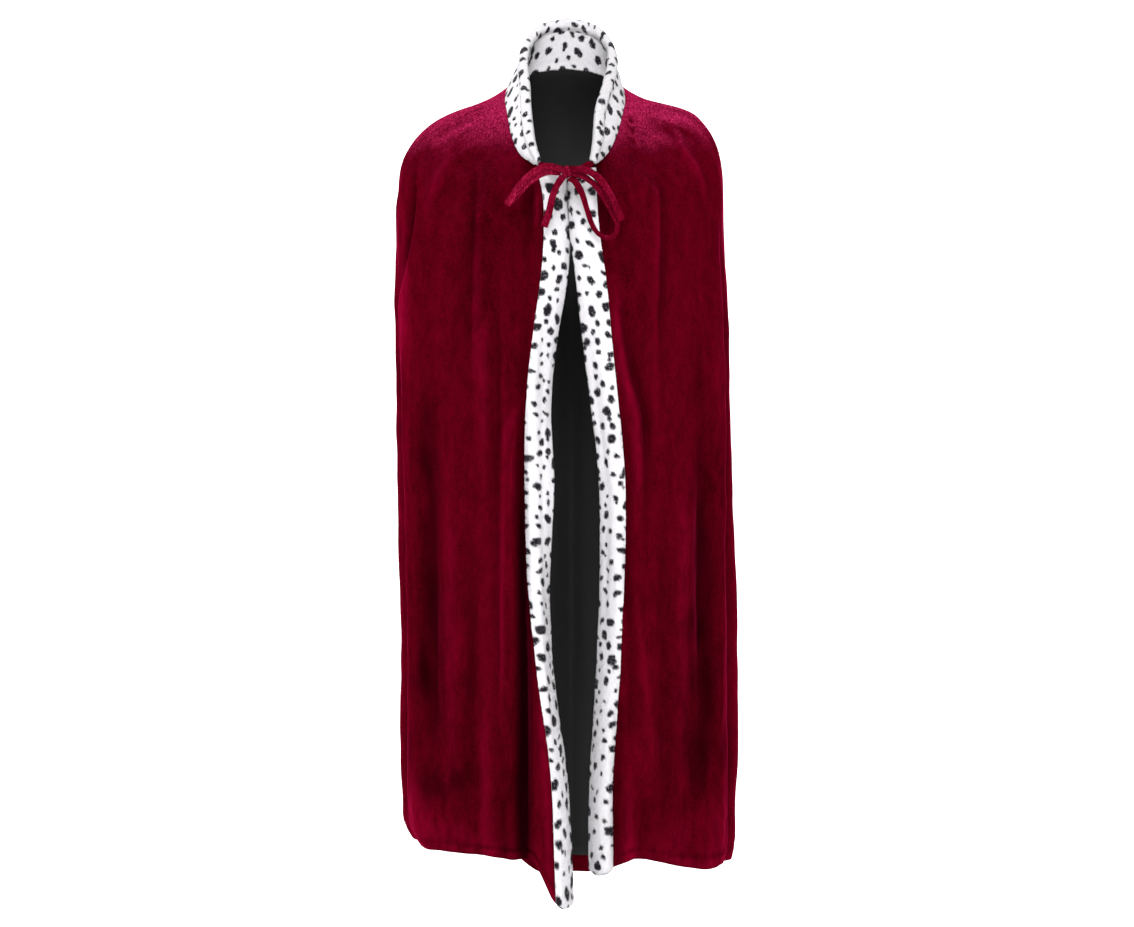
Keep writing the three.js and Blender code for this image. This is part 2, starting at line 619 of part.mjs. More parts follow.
// The share of a half neckline, in columns, at which a point on it lies.
function measuredAround(side, p) {
  let best = 0,
    near = Infinity;
  for (let i = 0; i <= 240; i++) {
    const q = bare(side, i / 240, 0);
    const d = q.distanceTo(p);
    if (d < near) [near, best] = [d, i / 240];
  }
  return best;
}
add(
  "collar",
  sweep(
    collarAt.map((s) => {
      const { put, high } = collarSection(s);
      const H = high + 5,
        r = RIM_HALF * (1 - 0.26 * smooth((Math.abs(s) - 0.84) / 0.16)),
        b = Math.min(RIM_BAND, high * 0.45),
        outFoot = collarFoot(s, put, G + FUR),
        inFoot = collarFoot(s, put, G);
      return [
        ...COLLAR_LEVELS.map((f) =>
          put(G + FUR + 1.0 * Math.sin(Math.PI * f), lerp(outFoot, H - b, f)),
        ),
        put(r, H - 0.62 * b),
        put(r * 0.95, H - 0.28 * b),
        put(r * 0.5, H - 0.05 * b),
        put(-r * 0.15, H),
        put(-r * 0.7, H - 0.1 * b),
        put(-r, H - 0.38 * b),
        put(-r * 0.96, H - 0.72 * b),
        put(-(G + FUR - 0.3), H - b),
        ...COLLAR_LEVELS.map((f) => put(G, lerp(H - b - 0.1, inFoot, f))),
      ];
    }),
  ),
  furCloth,
);
add(
  "collar_facing",
  sweep(
    collarAt.map((s) => {
      const { put, high } = collarSection(s);
      const H = high + 5,
        b = Math.min(RIM_BAND, high * 0.45),
        inFoot = collarFoot(s, put, -G),
        farFoot = collarFoot(s, put, -(G + FUR - 0.8));
      return [
        ...COLLAR_LEVELS.map((f) =>
          put(-(G + FUR - 0.8 + 0.4 * Math.sin(Math.PI * f)), lerp(farFoot, H - b - 0.7, f)),
        ),
        ...COLLAR_LEVELS.map((f) => put(-G, lerp(H - b - 0.7, inFoot, f))),
      ];
    }),
  ),
  furCloth,
);

// ---------------------------------------------------------------- ties
// Each tie is a flat tube. A row gives the middle of the tie and which way its width lies: turn is the angle of the
// width in the front plane from +X towards +Z, and lean how far the width turns away from the viewer.
const TIES = {
  tie_right: [
    { x: -42, y: -107, z: -126.2, turn: 92, lean: -30 },
    { x: -33, y: -112.5, z: -127.2, turn: 94, lean: -15 },
    { x: -22, y: -115.5, z: -132.5, turn: 98, lean: 0 },
    { x: -5.6, y: -119.5, z: -134.5, turn: 104, lean: 0 },
  ],
  tie_left: [
    { x: 44, y: -107, z: -124.7, turn: 88, lean: -30 },
    { x: 37, y: -112.5, z: -125.7, turn: 86, lean: -15 },
    { x: 27, y: -115.5, z: -132.5, turn: 82, lean: 0 },
    { x: 10.6, y: -119.5, z: -134.5, turn: 76, lean: 0 },
  ],
  bow_end_right: [
    { x: -3.3, y: -126.8, z: -145.9, turn: -8, lean: 10 },
    { x: -12.5, y: -132, z: -161, turn: -18, lean: 10 },
    { x: -20, y: -135, z: -180, turn: -14, lean: 5 },
    { x: -25, y: -137.5, z: -203, turn: -14, lean: 0 },
    { x: -33, y: -138.5, z: -228, turn: -18, lean: 0 },
  ],
  bow_end_left: [
    { x: 10.4, y: -128.6, z: -135.4, turn: 80, lean: 0 },
    { x: 30, y: -141, z: -137, turn: 70, lean: -10 },
    { x: 52, y: -151, z: -150, turn: 52, lean: -10 },
    { x: 70, y: -155, z: -175, turn: 32, lean: -6 },
    { x: 82, y: -155.5, z: -200, turn: 26, lean: 0 },
    { x: 90, y: -154.5, z: -219, turn: 24, lean: 0 },
  ],
};
// The loops go out from the knot, round and back to it.
const LOOPS = {
  bow_loop_right: [
    { x: -5, y: -128.4, z: -134.9, turn: 96, lean: 0 },
    { x: -28, y: -137, z: -131, turn: 100, lean: 5 },
    { x: -50, y: -140, z: -141, turn: 122, lean: 5 },
    { x: -70, y: -140.5, z: -160, turn: 136, lean: 0 },
    { x: -84, y: -140.4, z: -180, turn: 145, lean: 0 },
    { x: -91, y: -139.6, z: -190.5, turn: 147, lean: 4 },
    { x: -92, y: -136, z: -192.6, turn: 146, lean: 10 },
    { x: -89, y: -132.8, z: -189.5, turn: 144, lean: 6 },
    { x: -80, y: -132.6, z: -180, turn: 142, lean: 0 },
    { x: -66.5, y: -133.6, z: -165, turn: 136, lean: 0 },
    { x: -48, y: -132.6, z: -149, turn: 122, lean: 0 },
    { x: -28, y: -129, z: -139.5, turn: 100, lean: 0 },
    { x: -6.6, y: -124.6, z: -138.9, turn: 96, lean: 0 },
  ],
  bow_loop_left: [
    { x: 11.9, y: -125.8, z: -139.9, turn: 64, lean: 6 },
    { x: 30, y: -133, z: -147, turn: 52, lean: 20 },
    { x: 48, y: -141, z: -162, turn: 38, lean: 30 },
    { x: 64, y: -145, z: -185, turn: 26, lean: 38 },
    { x: 77, y: -146, z: -210, turn: 22, lean: 44 },
    { x: 84, y: -146, z: -228, turn: 12, lean: 50 },
    { x: 79, y: -145.5, z: -241, turn: -36, lean: 56 },
    { x: 68, y: -144.5, z: -246, turn: -84, lean: 60 },
    { x: 54, y: -144, z: -240, turn: -128, lean: 58 },
    { x: 43, y: -143, z: -224, turn: -160, lean: 52 },
    { x: 35, y: -141, z: -200, turn: -170, lean: 46 },
    { x: 27, y: -135, z: -174, turn: -166, lean: 30 },
    { x: 16, y: -126.4, z: -154, turn: -160, lean: 8 },
    { x: 7.9, y: -122.5, z: -147.7, turn: -156, lean: -8 },
  ],
};
const rad = Math.PI / 180;
function tie(rows, steps) {
  const line = new THREE.CatmullRomCurve3(rows.map((r) => V(r.x, r.y, r.z)), false, "centripetal");
  const across = new THREE.CatmullRomCurve3(
    rows.map((r) =>
      V(
        Math.cos(r.turn * rad) * Math.cos(r.lean * rad),
        Math.sin(r.lean * rad),
        Math.sin(r.turn * rad) * Math.cos(r.lean * rad),
      ),
    ),
    false,
    "centripetal",
  );
  return sweep(
    Array.from({ length: steps + 1 }, (_, i) => {
      const t = i / steps;
      const p = line.getPoint(t),
        ahead = line.getTangent(t),
        w = across.getPoint(t);
      w.addScaledVector(ahead, -w.dot(ahead)).normalize();
      const n = ahead.clone().cross(w).normalize();
      const half = TIE_W / 2,
        flat = TIE_T / 2;
      return [
        [half, 0], [half * 0.75, flat], [-half * 0.75, flat],
        [-half, 0], [-half * 0.75, -flat], [half * 0.75, -flat],
      ].map(([a, b]) => p.clone().addScaledVector(w, a).addScaledVector(n, b));
    }),
  );
}
for (const [name, rows] of Object.entries(TIES)) add(name, tie(rows, 2 * (rows.length - 1)), velvetTie);
for (const [name, rows] of Object.entries(LOOPS)) add(name, tie(rows, 2 * (rows.length - 1)), velvetTie);

// The knot is a rounded pad, taller than wide, that closes over the strands.
const KNOT = { x: 2.5, y: -123.5, z: -138.5, wide: 18, deep: 18, high: 20 };
const knot = new THREE.SphereGeometry(0.5, 12, 8);
knot.scale(KNOT.wide, KNOT.deep, KNOT.high);
knot.translate(KNOT.x, KNOT.y, KNOT.z);
knot.deleteAttribute("normal");
knot.deleteAttribute("uv");
add("bow_knot", knot.toNonIndexed().setIndex([...Array(knot.toNonIndexed().getAttribute("position").count).keys()]), velvetTie);

export default mantle;
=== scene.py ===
# Royal mantle: crushed velvet cape with a standing spotted-fur collar, spotted-fur front edges, a plain dark
# lining and velvet ties in a bow. Metres in the scene; the tables are in millimetres.
import math

import bpy
import numpy as np
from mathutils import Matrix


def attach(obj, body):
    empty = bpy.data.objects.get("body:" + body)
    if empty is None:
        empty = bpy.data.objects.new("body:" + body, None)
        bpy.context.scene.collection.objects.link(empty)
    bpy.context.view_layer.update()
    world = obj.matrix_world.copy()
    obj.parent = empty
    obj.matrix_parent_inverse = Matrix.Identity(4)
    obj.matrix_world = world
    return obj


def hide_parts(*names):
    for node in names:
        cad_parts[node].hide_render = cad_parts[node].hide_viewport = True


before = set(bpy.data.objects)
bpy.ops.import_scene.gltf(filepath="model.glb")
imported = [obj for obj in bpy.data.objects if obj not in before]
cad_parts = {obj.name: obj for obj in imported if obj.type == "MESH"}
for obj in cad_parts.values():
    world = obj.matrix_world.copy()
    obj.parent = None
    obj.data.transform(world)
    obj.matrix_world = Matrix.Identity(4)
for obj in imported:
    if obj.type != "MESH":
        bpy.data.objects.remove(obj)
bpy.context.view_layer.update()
MM = 0.001


# ------------------------------------------------------------------------------------------ camera
cam_data = bpy.data.cameras.new("camera")
cam_data.sensor_width = 36.0
cam_data.sensor_fit = "HORIZONTAL"
cam_data.lens = 36.0 * 4000.0 / (1134 * 1.65)
cam_data.clip_end = 60.0
cam = bpy.data.objects.new("camera", cam_data)
cam.location = (0.0033, -4.0, -0.6048)
cam.rotation_euler = (math.pi / 2, 0.0, 0.0)
bpy.context.scene.collection.objects.link(cam)
bpy.context.scene.camera = cam

# ------------------------------------------------------------------------------------------ sizes and tables
VELVET, LINING, SEAM_GAP, FUR = 1.6, 1.0, 0.45, 4.5
TRIM_OUT, TRIM_CHORD, TRIM_BELOW, TURN_UP = 46.0, 44.7, 11.0, 22.0
COLLAR_START, RIM_BAND, RIM_HALF = 41.0, 20.0, 9.5
STRIP = 0.1
SIDE_SEAM = 0.55

SECTION_NAMES = "share sideR sideL sideY frontY backY frontZ sideR_Z sideL_Z backZ nFront nBack dip".split()
SECTIONS = [
    (0.05, 150, 152, -6, -112, 98, -183, -14, -9, 2, 2.05, 2.05, 1),
    (0.1, 212, 214, -2, -122, 115, -239, -37, -27, -64, 2.2, 2.2, 1.2),
    (0.145, 254, 247, 0, -129, 122, -290, -72, -69, -126, 2.3, 2.3, 1.3),
    (0.19, 275, 259, 1, -134, 126, -341, -128, -128, -188, 2.35, 2.35, 1.5),
    (0.25, 279, 261, 2, -138, 129, -408, -214, -216, -272, 2.35, 2.3, 1.8),
    (0.34, 282, 269, 3, -141, 132, -508, -336, -338, -398, 2.35, 2.3, 2),
    (0.46, 276, 274, 4, -144, 136, -641, -500, -502, -566, 2.35, 2.25, 2.4),
    (0.6, 270, 273, 5, -147, 142, -796, -692, -694, -760, 2.35, 2.25, 2.8),
    (0.74, 265, 276, 6, -150, 149, -951, -884, -886, -952, 2.35, 2.2, 3.2),
    (0.88, 266, 277, 7, -153, 157, -1105, -1072, -1074, -1144, 2.35, 2.2, 3.6),
    (1, 259, 275, 8, -156, 165, -1236, -1226, -1254, -1309, 2.35, 2.2, 14),
]
# share, then x of the edge and width of band facing the front: right front at -X, left front at +X
EDGES = np.array(
    [
        (0, -2.4, 36, 8.0, 41),
        (0.03, -1.6, 35, 8.8, 40),
        (0.11, 4.4, 37, 12.8, 42),
        (0.165, -0.5, 37, 21, 43),
        (0.25, -16, 34, 31, 42),
        (0.34, -26, 33, 44, 39),
        (0.46, -21, 40, 58, 37),
        (0.58, -26, 30, 60, 32),
        (0.68, -31, 20, 56, 33),
        (0.8, -10, 21, 49, 32),
        (0.91, 3, 21, 41, 30),
        (1, 11, 24, 41, 32),
    ],
    float,
)
NECKLINE = [(0, -100, -127), (41, -95, -124), (65, -81, -107), (82, -59, -74), (93, -30, -32), (97, 2, -3), (88, 35, 29), (59, 61, 52), (0, 74, 63)]
WIDER_RIGHT = [0, 1, 5, 3, 0, 0, 0, 0, 0]  # the right half of the neckline lies this much further out
RIM = {
    -1: [(-43, -114, -120), (-53, -102, -84), (-59, -78, -32), (-62, -47, 16), (-66, -8, 60), (-60, 28, 98), (-38, 55, 127), (5, 66, 139)],
    1: [(45, -114, -119), (50, -102, -84), (53, -78, -32), (66, -47, 14), (76, -8, 58), (73, 28, 96), (50, 55, 125), (5, 66, 139)],
}
CORNER = dict(right=67, left=14, flat=42, width=30, start=0.86)
# where the front hem rises or dips: x of the middle, the height and the half width
HEM_WAVES = [(-160, 6.5, 75), (110, 5, 22), (225, -17, 46)]

# The main creases. Each runs through its rows of (z, x or y, depth, half width towards +X, half width towards -X);
# depth is above 0 on a ridge and below 0 in a trough. On the sides the second value is y.
CREASES = [
    # wearer's right front
    ("front", [(-96, -243, 0, 9, 10), (-120, -244, -4, 9, 10), (-192, -246, -9, 9, 12), (-250, -258, -9, 10, 12), (-304, -272, -6, 10, 10), (-345, -279, 0, 8, 8)]),
    ("front", [(-78, -172, 0, 12, 14), (-109, -187, 5, 12, 14), (-150, -206, 6, 12, 14), (-179, -219, 4, 12, 12), (-240, -226, 0, 12, 12)]),
    ("front", [(-128, -150, 0, 8, 8), (-160, -149, -6, 8, 9), (-232, -148, -5, 9, 9), (-330, -150, -2, 10, 10), (-460, -152, 0, 10, 10)]),
    ("front", [(-150, -137, 0, 7, 8), (-210, -139, 5, 7, 8), (-330, -141, 4, 8, 8), (-440, -140, 3, 8, 9), (-540, -140, 0, 9, 9)]),
    ("front", [(-330, -126, 0, 9, 10), (-400, -127, 4, 9, 10), (-520, -128, 5, 9, 11), (-631, -129, 2, 9, 10), (-720, -131, 0, 9, 9)]),
    ("front", [(-290, -99, 0, 8, 10), (-370, -98, 3, 7, 10), (-520, -97, 3, 6, 10), (-640, -98, 4, 5, 8), (-760, -98, 6, 3.5, 6), (-900, -99, 6, 3.5, 6), (-1000, -100, 3, 4, 6), (-1090, -101, 0, 5, 7)]),
    ("front", [(-780, -134, 0, 3, 4), (-840, -134, 3, 3, 4), (-930, -135, 0, 3, 4)]),
    ("front", [(-1030, -163, 0, 4, 5), (-1080, -164, 3, 4, 5), (-1140, -166, 0, 4, 6)]),
    ("front", [(-235, -143, 0, 3, 4), (-260, -143, 2.5, 3, 4), (-400, -144, 2.5, 3, 5), (-520, -145, 0, 4, 5)]),
    ("front", [(-112, -38, 0, 5, 6), (-140, -41, 4, 5, 6), (-200, -44, 5, 5, 6), (-262, -47, 0, 6, 7)]),
    ("front", [(-112, -54, 0, 8, 9), (-140, -57, -7, 8, 10), (-200, -60, -8, 8, 11), (-262, -62, -4, 9, 11), (-330, -63, 0, 9, 11)]),
    ("front", [(-505, -66, 0, 4, 5), (-540, -76, 4, 4, 5), (-600, -84, 5, 4, 6), (-700, -86, 4, 4, 6), (-820, -86, 0, 5, 6)]),
    ("front", [(-330, -111, 0, 8, 8), (-430, -110, -4, 8, 8), (-600, -112, -5, 8, 9), (-800, -113, -4, 9, 9), (-980, -114, 0, 9, 9)]),
    ("front", [(-455, -50, 0, 6, 7), (-482, -57, 4, 6, 7), (-520, -76, 5, 6, 8), (-556, -92, 4, 6, 8), (-590, -97, 0, 6, 8)]),
    ("front", [(-330, -62, 0, 8, 8), (-440, -66, -5, 8, 8), (-560, -70, -8, 8, 8), (-680, -70, -15, 9, 9), (-800, -67, -22, 10, 10), (-930, -66, -23, 10, 10), (-1080, -66, -21, 10, 11), (-1200, -67, -16, 11, 12), (-1310, -70, -10, 12, 12)]),
    ("front", [(-240, -47, 0, 9, 8), (-400, -50, 4, 9, 8), (-560, -49, 6, 9, 8), (-760, -47, 6, 9, 7), (-1000, -35, 6, 9, 8), (-1240, -27, 4, 10, 9)]),
    ("front", [(-500, -214, 0, 22, 24), (-620, -218, -7, 22, 26), (-820, -219, -11, 22, 28), (-1010, -218, -9, 22, 26), (-1120, -216, 0, 20, 22)]),
    ("front", [(-560, -186, 0, 14, 14), (-700, -184, 4, 14, 16), (-900, -182, 5, 14, 16), (-1100, -181, 3, 14, 14), (-1220, -180, 0, 14, 14)]),
    ("front", [(-640, -154, 0, 11, 11), (-760, -152, -4, 11, 12), (-940, -153, -5, 12, 12), (-1120, -156, -3, 12, 12), (-1220, -158, 0, 12, 12)]),
    ("front", [(-1080, -236, 0, 22, 22), (-1150, -234, 6, 24, 20), (-1200, -228, 6, 24, 20), (-1240, -226, 2, 24, 20)]),
    ("front", [(-900, -128, 0, 10, 10), (-1040, -126, 4, 10, 12), (-1160, -124, 5, 10, 14), (-1250, -122, 3, 10, 12)]),
    ("front", [(-1100, -104, 0, 9, 9), (-1180, -102, -4, 9, 9), (-1250, -101, -5, 9, 9)]),
    # wearer's left front
    ("front", [(-760, 145, 0, 3, 4), (-800, 145, 3, 3, 4), (-880, 143, 0, 3, 4)]),
    ("front", [(-1010, 140, 0, 3, 4), (-1060, 139, 3, 3, 4), (-1120, 137, 0, 3, 4)]),
    ("front", [(-108, 48, 0, 7, 8), (-132, 54, -7, 8, 10), (-172, 60, -7, 8, 11), (-220, 62, -3, 9, 11), (-268, 62, 0, 9, 11)]),
    ("front", [(-820, 90, 0, 4, 5), (-850, 97, 3.5, 4, 5), (-900, 109, 4, 4, 6), (-935, 117, 0, 5, 6)]),
    ("front", [(-905, 78, 0, 4, 5), (-940, 84, 4, 4, 5), (-985, 94, 3.5, 4, 6), (-1030, 104, 0, 5, 6)]),
    ("front", [(-6, 104, 0, 7, 8), (-30, 106, -5, 7, 9), (-60, 108, -6, 7, 10), (-95, 110, -4, 8, 10), (-140, 112, 0, 8, 10)]),
    ("front", [(-70, 172, 0, 13, 12), (-93, 187, 5, 13, 12), (-120, 206, 6, 13, 12), (-150, 218, 4, 13, 12), (-200, 226, 0, 13, 12)]),
    ("front", [(-112, 157, 0, 9, 8), (-160, 157, -6, 9, 8), (-280, 156, -6, 10, 9), (-420, 155, -4, 10, 9), (-560, 154, 0, 10, 9)]),
    ("front", [(-130, 146, 0, 8, 7), (-200, 146, 5, 8, 7), (-340, 145, 4, 8, 8), (-500, 145, 3, 9, 8), (-620, 146, 0, 9, 8)]),
    ("front", [(-290, 74, 0, 9, 8), (-360, 80, 6, 9, 8), (-467, 94, 8, 9, 9), (-519, 111, 8, 9, 9), (-626, 117, 6, 10, 9), (-740, 118, 0, 10, 9)]),
    ("front", [(-340, 90, 0, 7, 7), (-392, 98, -5, 7, 7), (-467, 110, -8, 8, 7), (-519, 127, -7, 9, 7), (-626, 133, -5, 9, 8), (-760, 134, 0, 9, 8)]),
    ("front", [(-480, 84, 0, 8, 8), (-560, 92, -6, 8, 8), (-680, 96, -7, 9, 8), (-786, 97, -8, 9, 8), (-950, 110, -5, 9, 9), (-1040, 116, 0, 9, 9)]),
    ("front", [(-760, 108, 0, 8, 9), (-860, 116, 4, 8, 9), (-980, 130, 4, 9, 9), (-1090, 138, 0, 9, 9)]),
    ("front", [(-500, 222, 0, 26, 22), (-620, 227, -8, 28, 22), (-820, 229, -12, 28, 22), (-1010, 228, -9, 26, 22), (-1120, 226, 0, 22, 20)]),
    ("front", [(-560, 190, 0, 14, 14), (-700, 188, 5, 16, 14), (-900, 187, 5, 16, 14), (-1100, 184, 3, 14, 14), (-1220, 182, 0, 14, 14)]),
    ("front", [(-700, 160, 0, 12, 11), (-820, 158, -4, 12, 11), (-1000, 160, -5, 12, 12), (-1160, 162, -3, 12, 12), (-1230, 163, 0, 12, 12)]),
    ("front", [(-860, 84, 0, 9, 8), (-960, 82, -5, 9, 8), (-1100, 80, -8, 9, 8), (-1250, 78, -7, 10, 8)]),
    ("front", [(-1060, 104, 0, 10, 10), (-1150, 102, 5, 10, 10), (-1250, 100, 6, 12, 10)]),
    ("front", [(-1120, 128, 0, 9, 9), (-1190, 127, -4, 9, 9), (-1250, 126, -5, 10, 9)]),
    ("front", [(-1130, 252, 0, 16, 18), (-1180, 250, 5, 16, 18), (-1225, 246, 5, 16, 18), (-1260, 244, 2, 16, 18)]),
    # the sides, where the second value is y
    ("right", [(-200, -30, 0, 16, 16), (-380, -28, -6, 16, 16), (-700, -24, -9, 18, 18), (-1000, -22, -8, 18, 20), (-1240, -20, -5, 18, 20)]),
    ("right", [(-260, 44, 0, 18, 16), (-480, 46, -8, 18, 16), (-800, 50, -11, 20, 18), (-1240, 54, -9, 22, 20)]),
    ("right", [(-420, 8, 0, 12, 12), (-640, 8, 5, 12, 12), (-900, 10, 5, 12, 12), (-1230, 12, 5, 12, 12)]),
    ("left", [(-200, -32, 0, 16, 16), (-400, -30, -7, 16, 16), (-760, -26, -9, 18, 18), (-1100, -24, -8, 18, 20), (-1250, -22, -6, 18, 20)]),
    ("left", [(-300, 40, 0, 16, 18), (-520, 42, -7, 18, 18), (-860, 46, -11, 20, 20), (-1250, 50, -9, 20, 22)]),
    ("left", [(-500, 6, 0, 12, 12), (-700, 6, 4, 12, 12), (-960, 8, 6, 12, 12), (-1240, 10, 5, 12, 12)]),
    # the back
    ("back", [(30, -20, 0, 20, 20), (-120, -26, -6, 24, 24), (-420, -34, -14, 26, 30), (-800, -44, -17, 28, 32), (-1330, -56, -18, 32, 36)]),
    ("back", [(0, 40, 0, 20, 20), (-180, 46, -5, 24, 24), (-520, 54, -13, 28, 26), (-900, 62, -15, 30, 28), (-1330, 72, -16, 34, 30)]),
    ("back", [(-60, -86, 0, 20, 20), (-240, -98, -5, 22, 24), (-560, -116, -12, 26, 28), (-900, -132, -13, 28, 30), (-1330, -148, -15, 30, 34)]),
    ("back", [(-60, 92, 0, 20, 20), (-260, 108, -6, 24, 22), (-600, 130, -12, 28, 26), (-940, 148, -13, 30, 28), (-1330, 168, -15, 34, 30)]),
    ("back", [(-100, 8, 0, 18, 18), (-320, 8, 6, 20, 20), (-700, 8, 9, 22, 22), (-1330, 8, 11, 24, 24)]),
    ("back", [(-160, -72, 0, 16, 16), (-420, -76, 6, 18, 18), (-800, -88, 9, 20, 20), (-1330, -100, 11, 22, 22)]),
    ("back", [(-240, 90, 0, 16, 16), (-520, 94, 6, 18, 18), (-900, 104, 8, 20, 20), (-1330, 118, 11, 22, 22)]),
    ("back", [(-200, -196, 0, 20, 20), (-460, -204, -8, 22, 22), (-820, -214, -10, 24, 24), (-1330, -226, -11, 24, 26)]),
    ("back", [(-220, 200, 0, 20, 20), (-520, 210, -8, 22, 22), (-880, 220, -11, 24, 24), (-1330, 230, -12, 26, 24)]),
    ("back", [(-40, -140, 0, 12, 12), (-110, -150, 5, 14, 14), (-220, -166, 6, 14, 16), (-380, -180, 4, 16, 16), (-560, -184, 0, 16, 16)]),
    ("back", [(-30, 150, 0, 12, 12), (-100, 160, 5, 14, 14), (-230, 172, 6, 16, 14), (-400, 182, 4, 16, 16), (-560, 186, 0, 16, 16)]),
]


# Short puckers: middle x and z, half sizes, wave length, turn in degrees and height.
PUCKERS = [
    ("front", 236, -1180, 40, 34, 15, 12, 1.5),
    ("front", 250, -1222, 34, 20, 11, -6, 1.1),
    ("front", -232, -1206, 40, 18, 13, -16, 0.9),
    ("front", -150, -1232, 60, 12, 12, -8, 0.8),
    ("front", 150, -1222, 46, 12, 13, 6, 0.8),
    ("back", -160, -1300, 60, 18, 14, 8, 0.9),
    ("back", 120, -1310, 60, 16, 14, -7, 0.9),
]
# Patches of painted light and shade on the velvet: middle x and z, half sizes, turn in degrees, and painted paler above
# 0 and darker below 0.
LIGHT_SHADE_PATCHES = [
    ("front", -224, -610, 20, 150, 0, -0.55),
    ("front", -238, -990, 22, 120, -6, -0.65),
    ("front", -196, -1120, 46, 22, 24, -0.8),
    ("front", -150, -960, 60, 230, 0, -0.3),
    ("front", 190, -960, 60, 230, 0, -0.3),
    ("front", -86, -1130, 24, 90, 0, -0.7),
    ("front", -164, -300, 20, 130, 0, -0.35),
    ("front", -190, -1190, 66, 24, -8, 0.35),
    ("front", -262, -1160, 16, 50, 0, 0.5),
    ("front", -266, -350, 13, 130, 0, 0.9),
    ("front", -268, -620, 10, 130, 0, 0.5),
    ("front", -120, -880, 16, 130, 0, 0.35),
    ("front", 215, -880, 22, 150, 0, -0.5),
    ("front", 232, -1090, 34, 46, -38, -0.95),
    ("front", 100, -1010, 26, 34, 30, -0.6),
    ("front", 150, -1000, 26, 190, 0, 0.3),
    ("front", 190, -1190, 66, 26, 8, 0.28),
    ("front", 120, -1150, 30, 40, 0, -0.35),
    ("front", 215, -500, 16, 150, 0, -0.4),
    ("front", 120, -480, 14, 120, 0, -0.35),
    ("front", 254, -420, 12, 150, 0, 0.3),
    ("back", -120, -500, 24, 190, 0, -0.5),
    ("back", 60, -780, 30, 200, 0, -0.5),
    ("back", 190, -900, 26, 160, 0, -0.6),
    ("back", -200, -1060, 34, 90, -12, -0.8),
    ("back", 20, -1180, 80, 34, 10, -0.5),
    ("back", -40, -420, 22, 160, 0, 0.4),
    ("back", 130, -600, 22, 150, 0, 0.4),
    ("back", -160, -900, 22, 150, 0, 0.35),
    ("back", -60, -1270, 90, 24, -6, 0.5),
    ("back", 170, -1260, 70, 26, 8, 0.45),
]


# ------------------------------------------------------------------------------------------ curves
def smooth(t):
    k = np.clip(t, 0, 1)
    return k * k * (3 - 2 * k)


def hermite(knots, values, at):
    """Smooth curve through the rows of values at the knots; values is (rows, ...)."""
    values = np.asarray(values, float)
    at = np.atleast_1d(np.asarray(at, float))
    i = np.clip(np.searchsorted(knots, at, side="left"), 1, len(knots) - 1)
    a, b = i - 1, i
    before, after = np.maximum(0, i - 2), np.minimum(len(knots) - 1, i + 1)
    h = knots[b] - knots[a]
    t = (at - knots[a]) / h
    shape = (-1,) + (1,) * (values.ndim - 1)
    ma = (values[b] - values[before]) * (h / np.maximum(1e-9, knots[b] - knots[before])).reshape(shape)
    mb = (values[after] - values[a]) * (h / np.maximum(1e-9, knots[after] - knots[a])).reshape(shape)
    t = t.reshape(shape)
    return (2 * t**3 - 3 * t**2 + 1) * values[a] + (t**3 - 2 * t**2 + t) * ma + (3 * t**2 - 2 * t**3) * values[b] + (t**3 - t**2) * mb


def through(points, count):
    """Centripetal curve through the points, as count + 1 points spaced evenly in its own parameter."""
    p = np.asarray(points, float)
    p = np.vstack([2 * p[0] - p[1], p, 2 * p[-1] - p[-2]])
    n = len(points) - 1
    out = []
    for u in np.linspace(0, n, count + 1):
        i = min(int(u), n - 1)
        w = u - i
        x0, x1, x2, x3 = p[i : i + 4]
        d0, d1, d2 = (max(1e-4, np.linalg.norm(b - a)) ** 0.5 for a, b in ((x0, x1), (x1, x2), (x2, x3)))
        t1 = ((x1 - x0) / d0 - (x2 - x0) / (d0 + d1) + (x2 - x1) / d1) * d1
        t2 = ((x2 - x1) / d1 - (x3 - x1) / (d1 + d2) + (x3 - x2) / d2) * d1
        out.append(x1 + t1 * w + (-3 * x1 + 3 * x2 - 2 * t1 - t2) * w**2 + (2 * x1 - 2 * x2 + t1 + t2) * w**3)
    return np.array(out)


def lengths(p):
    return np.concatenate([[0], np.cumsum(np.linalg.norm(np.diff(p, axis=0), axis=1))])


def on_line(p, d):
    s = lengths(p)
    return np.stack([np.interp(d, s, p[:, k]) for k in range(3)], -1)


def unit(v):
    return v / np.maximum(1e-12, np.linalg.norm(v, axis=-1, keepdims=True))


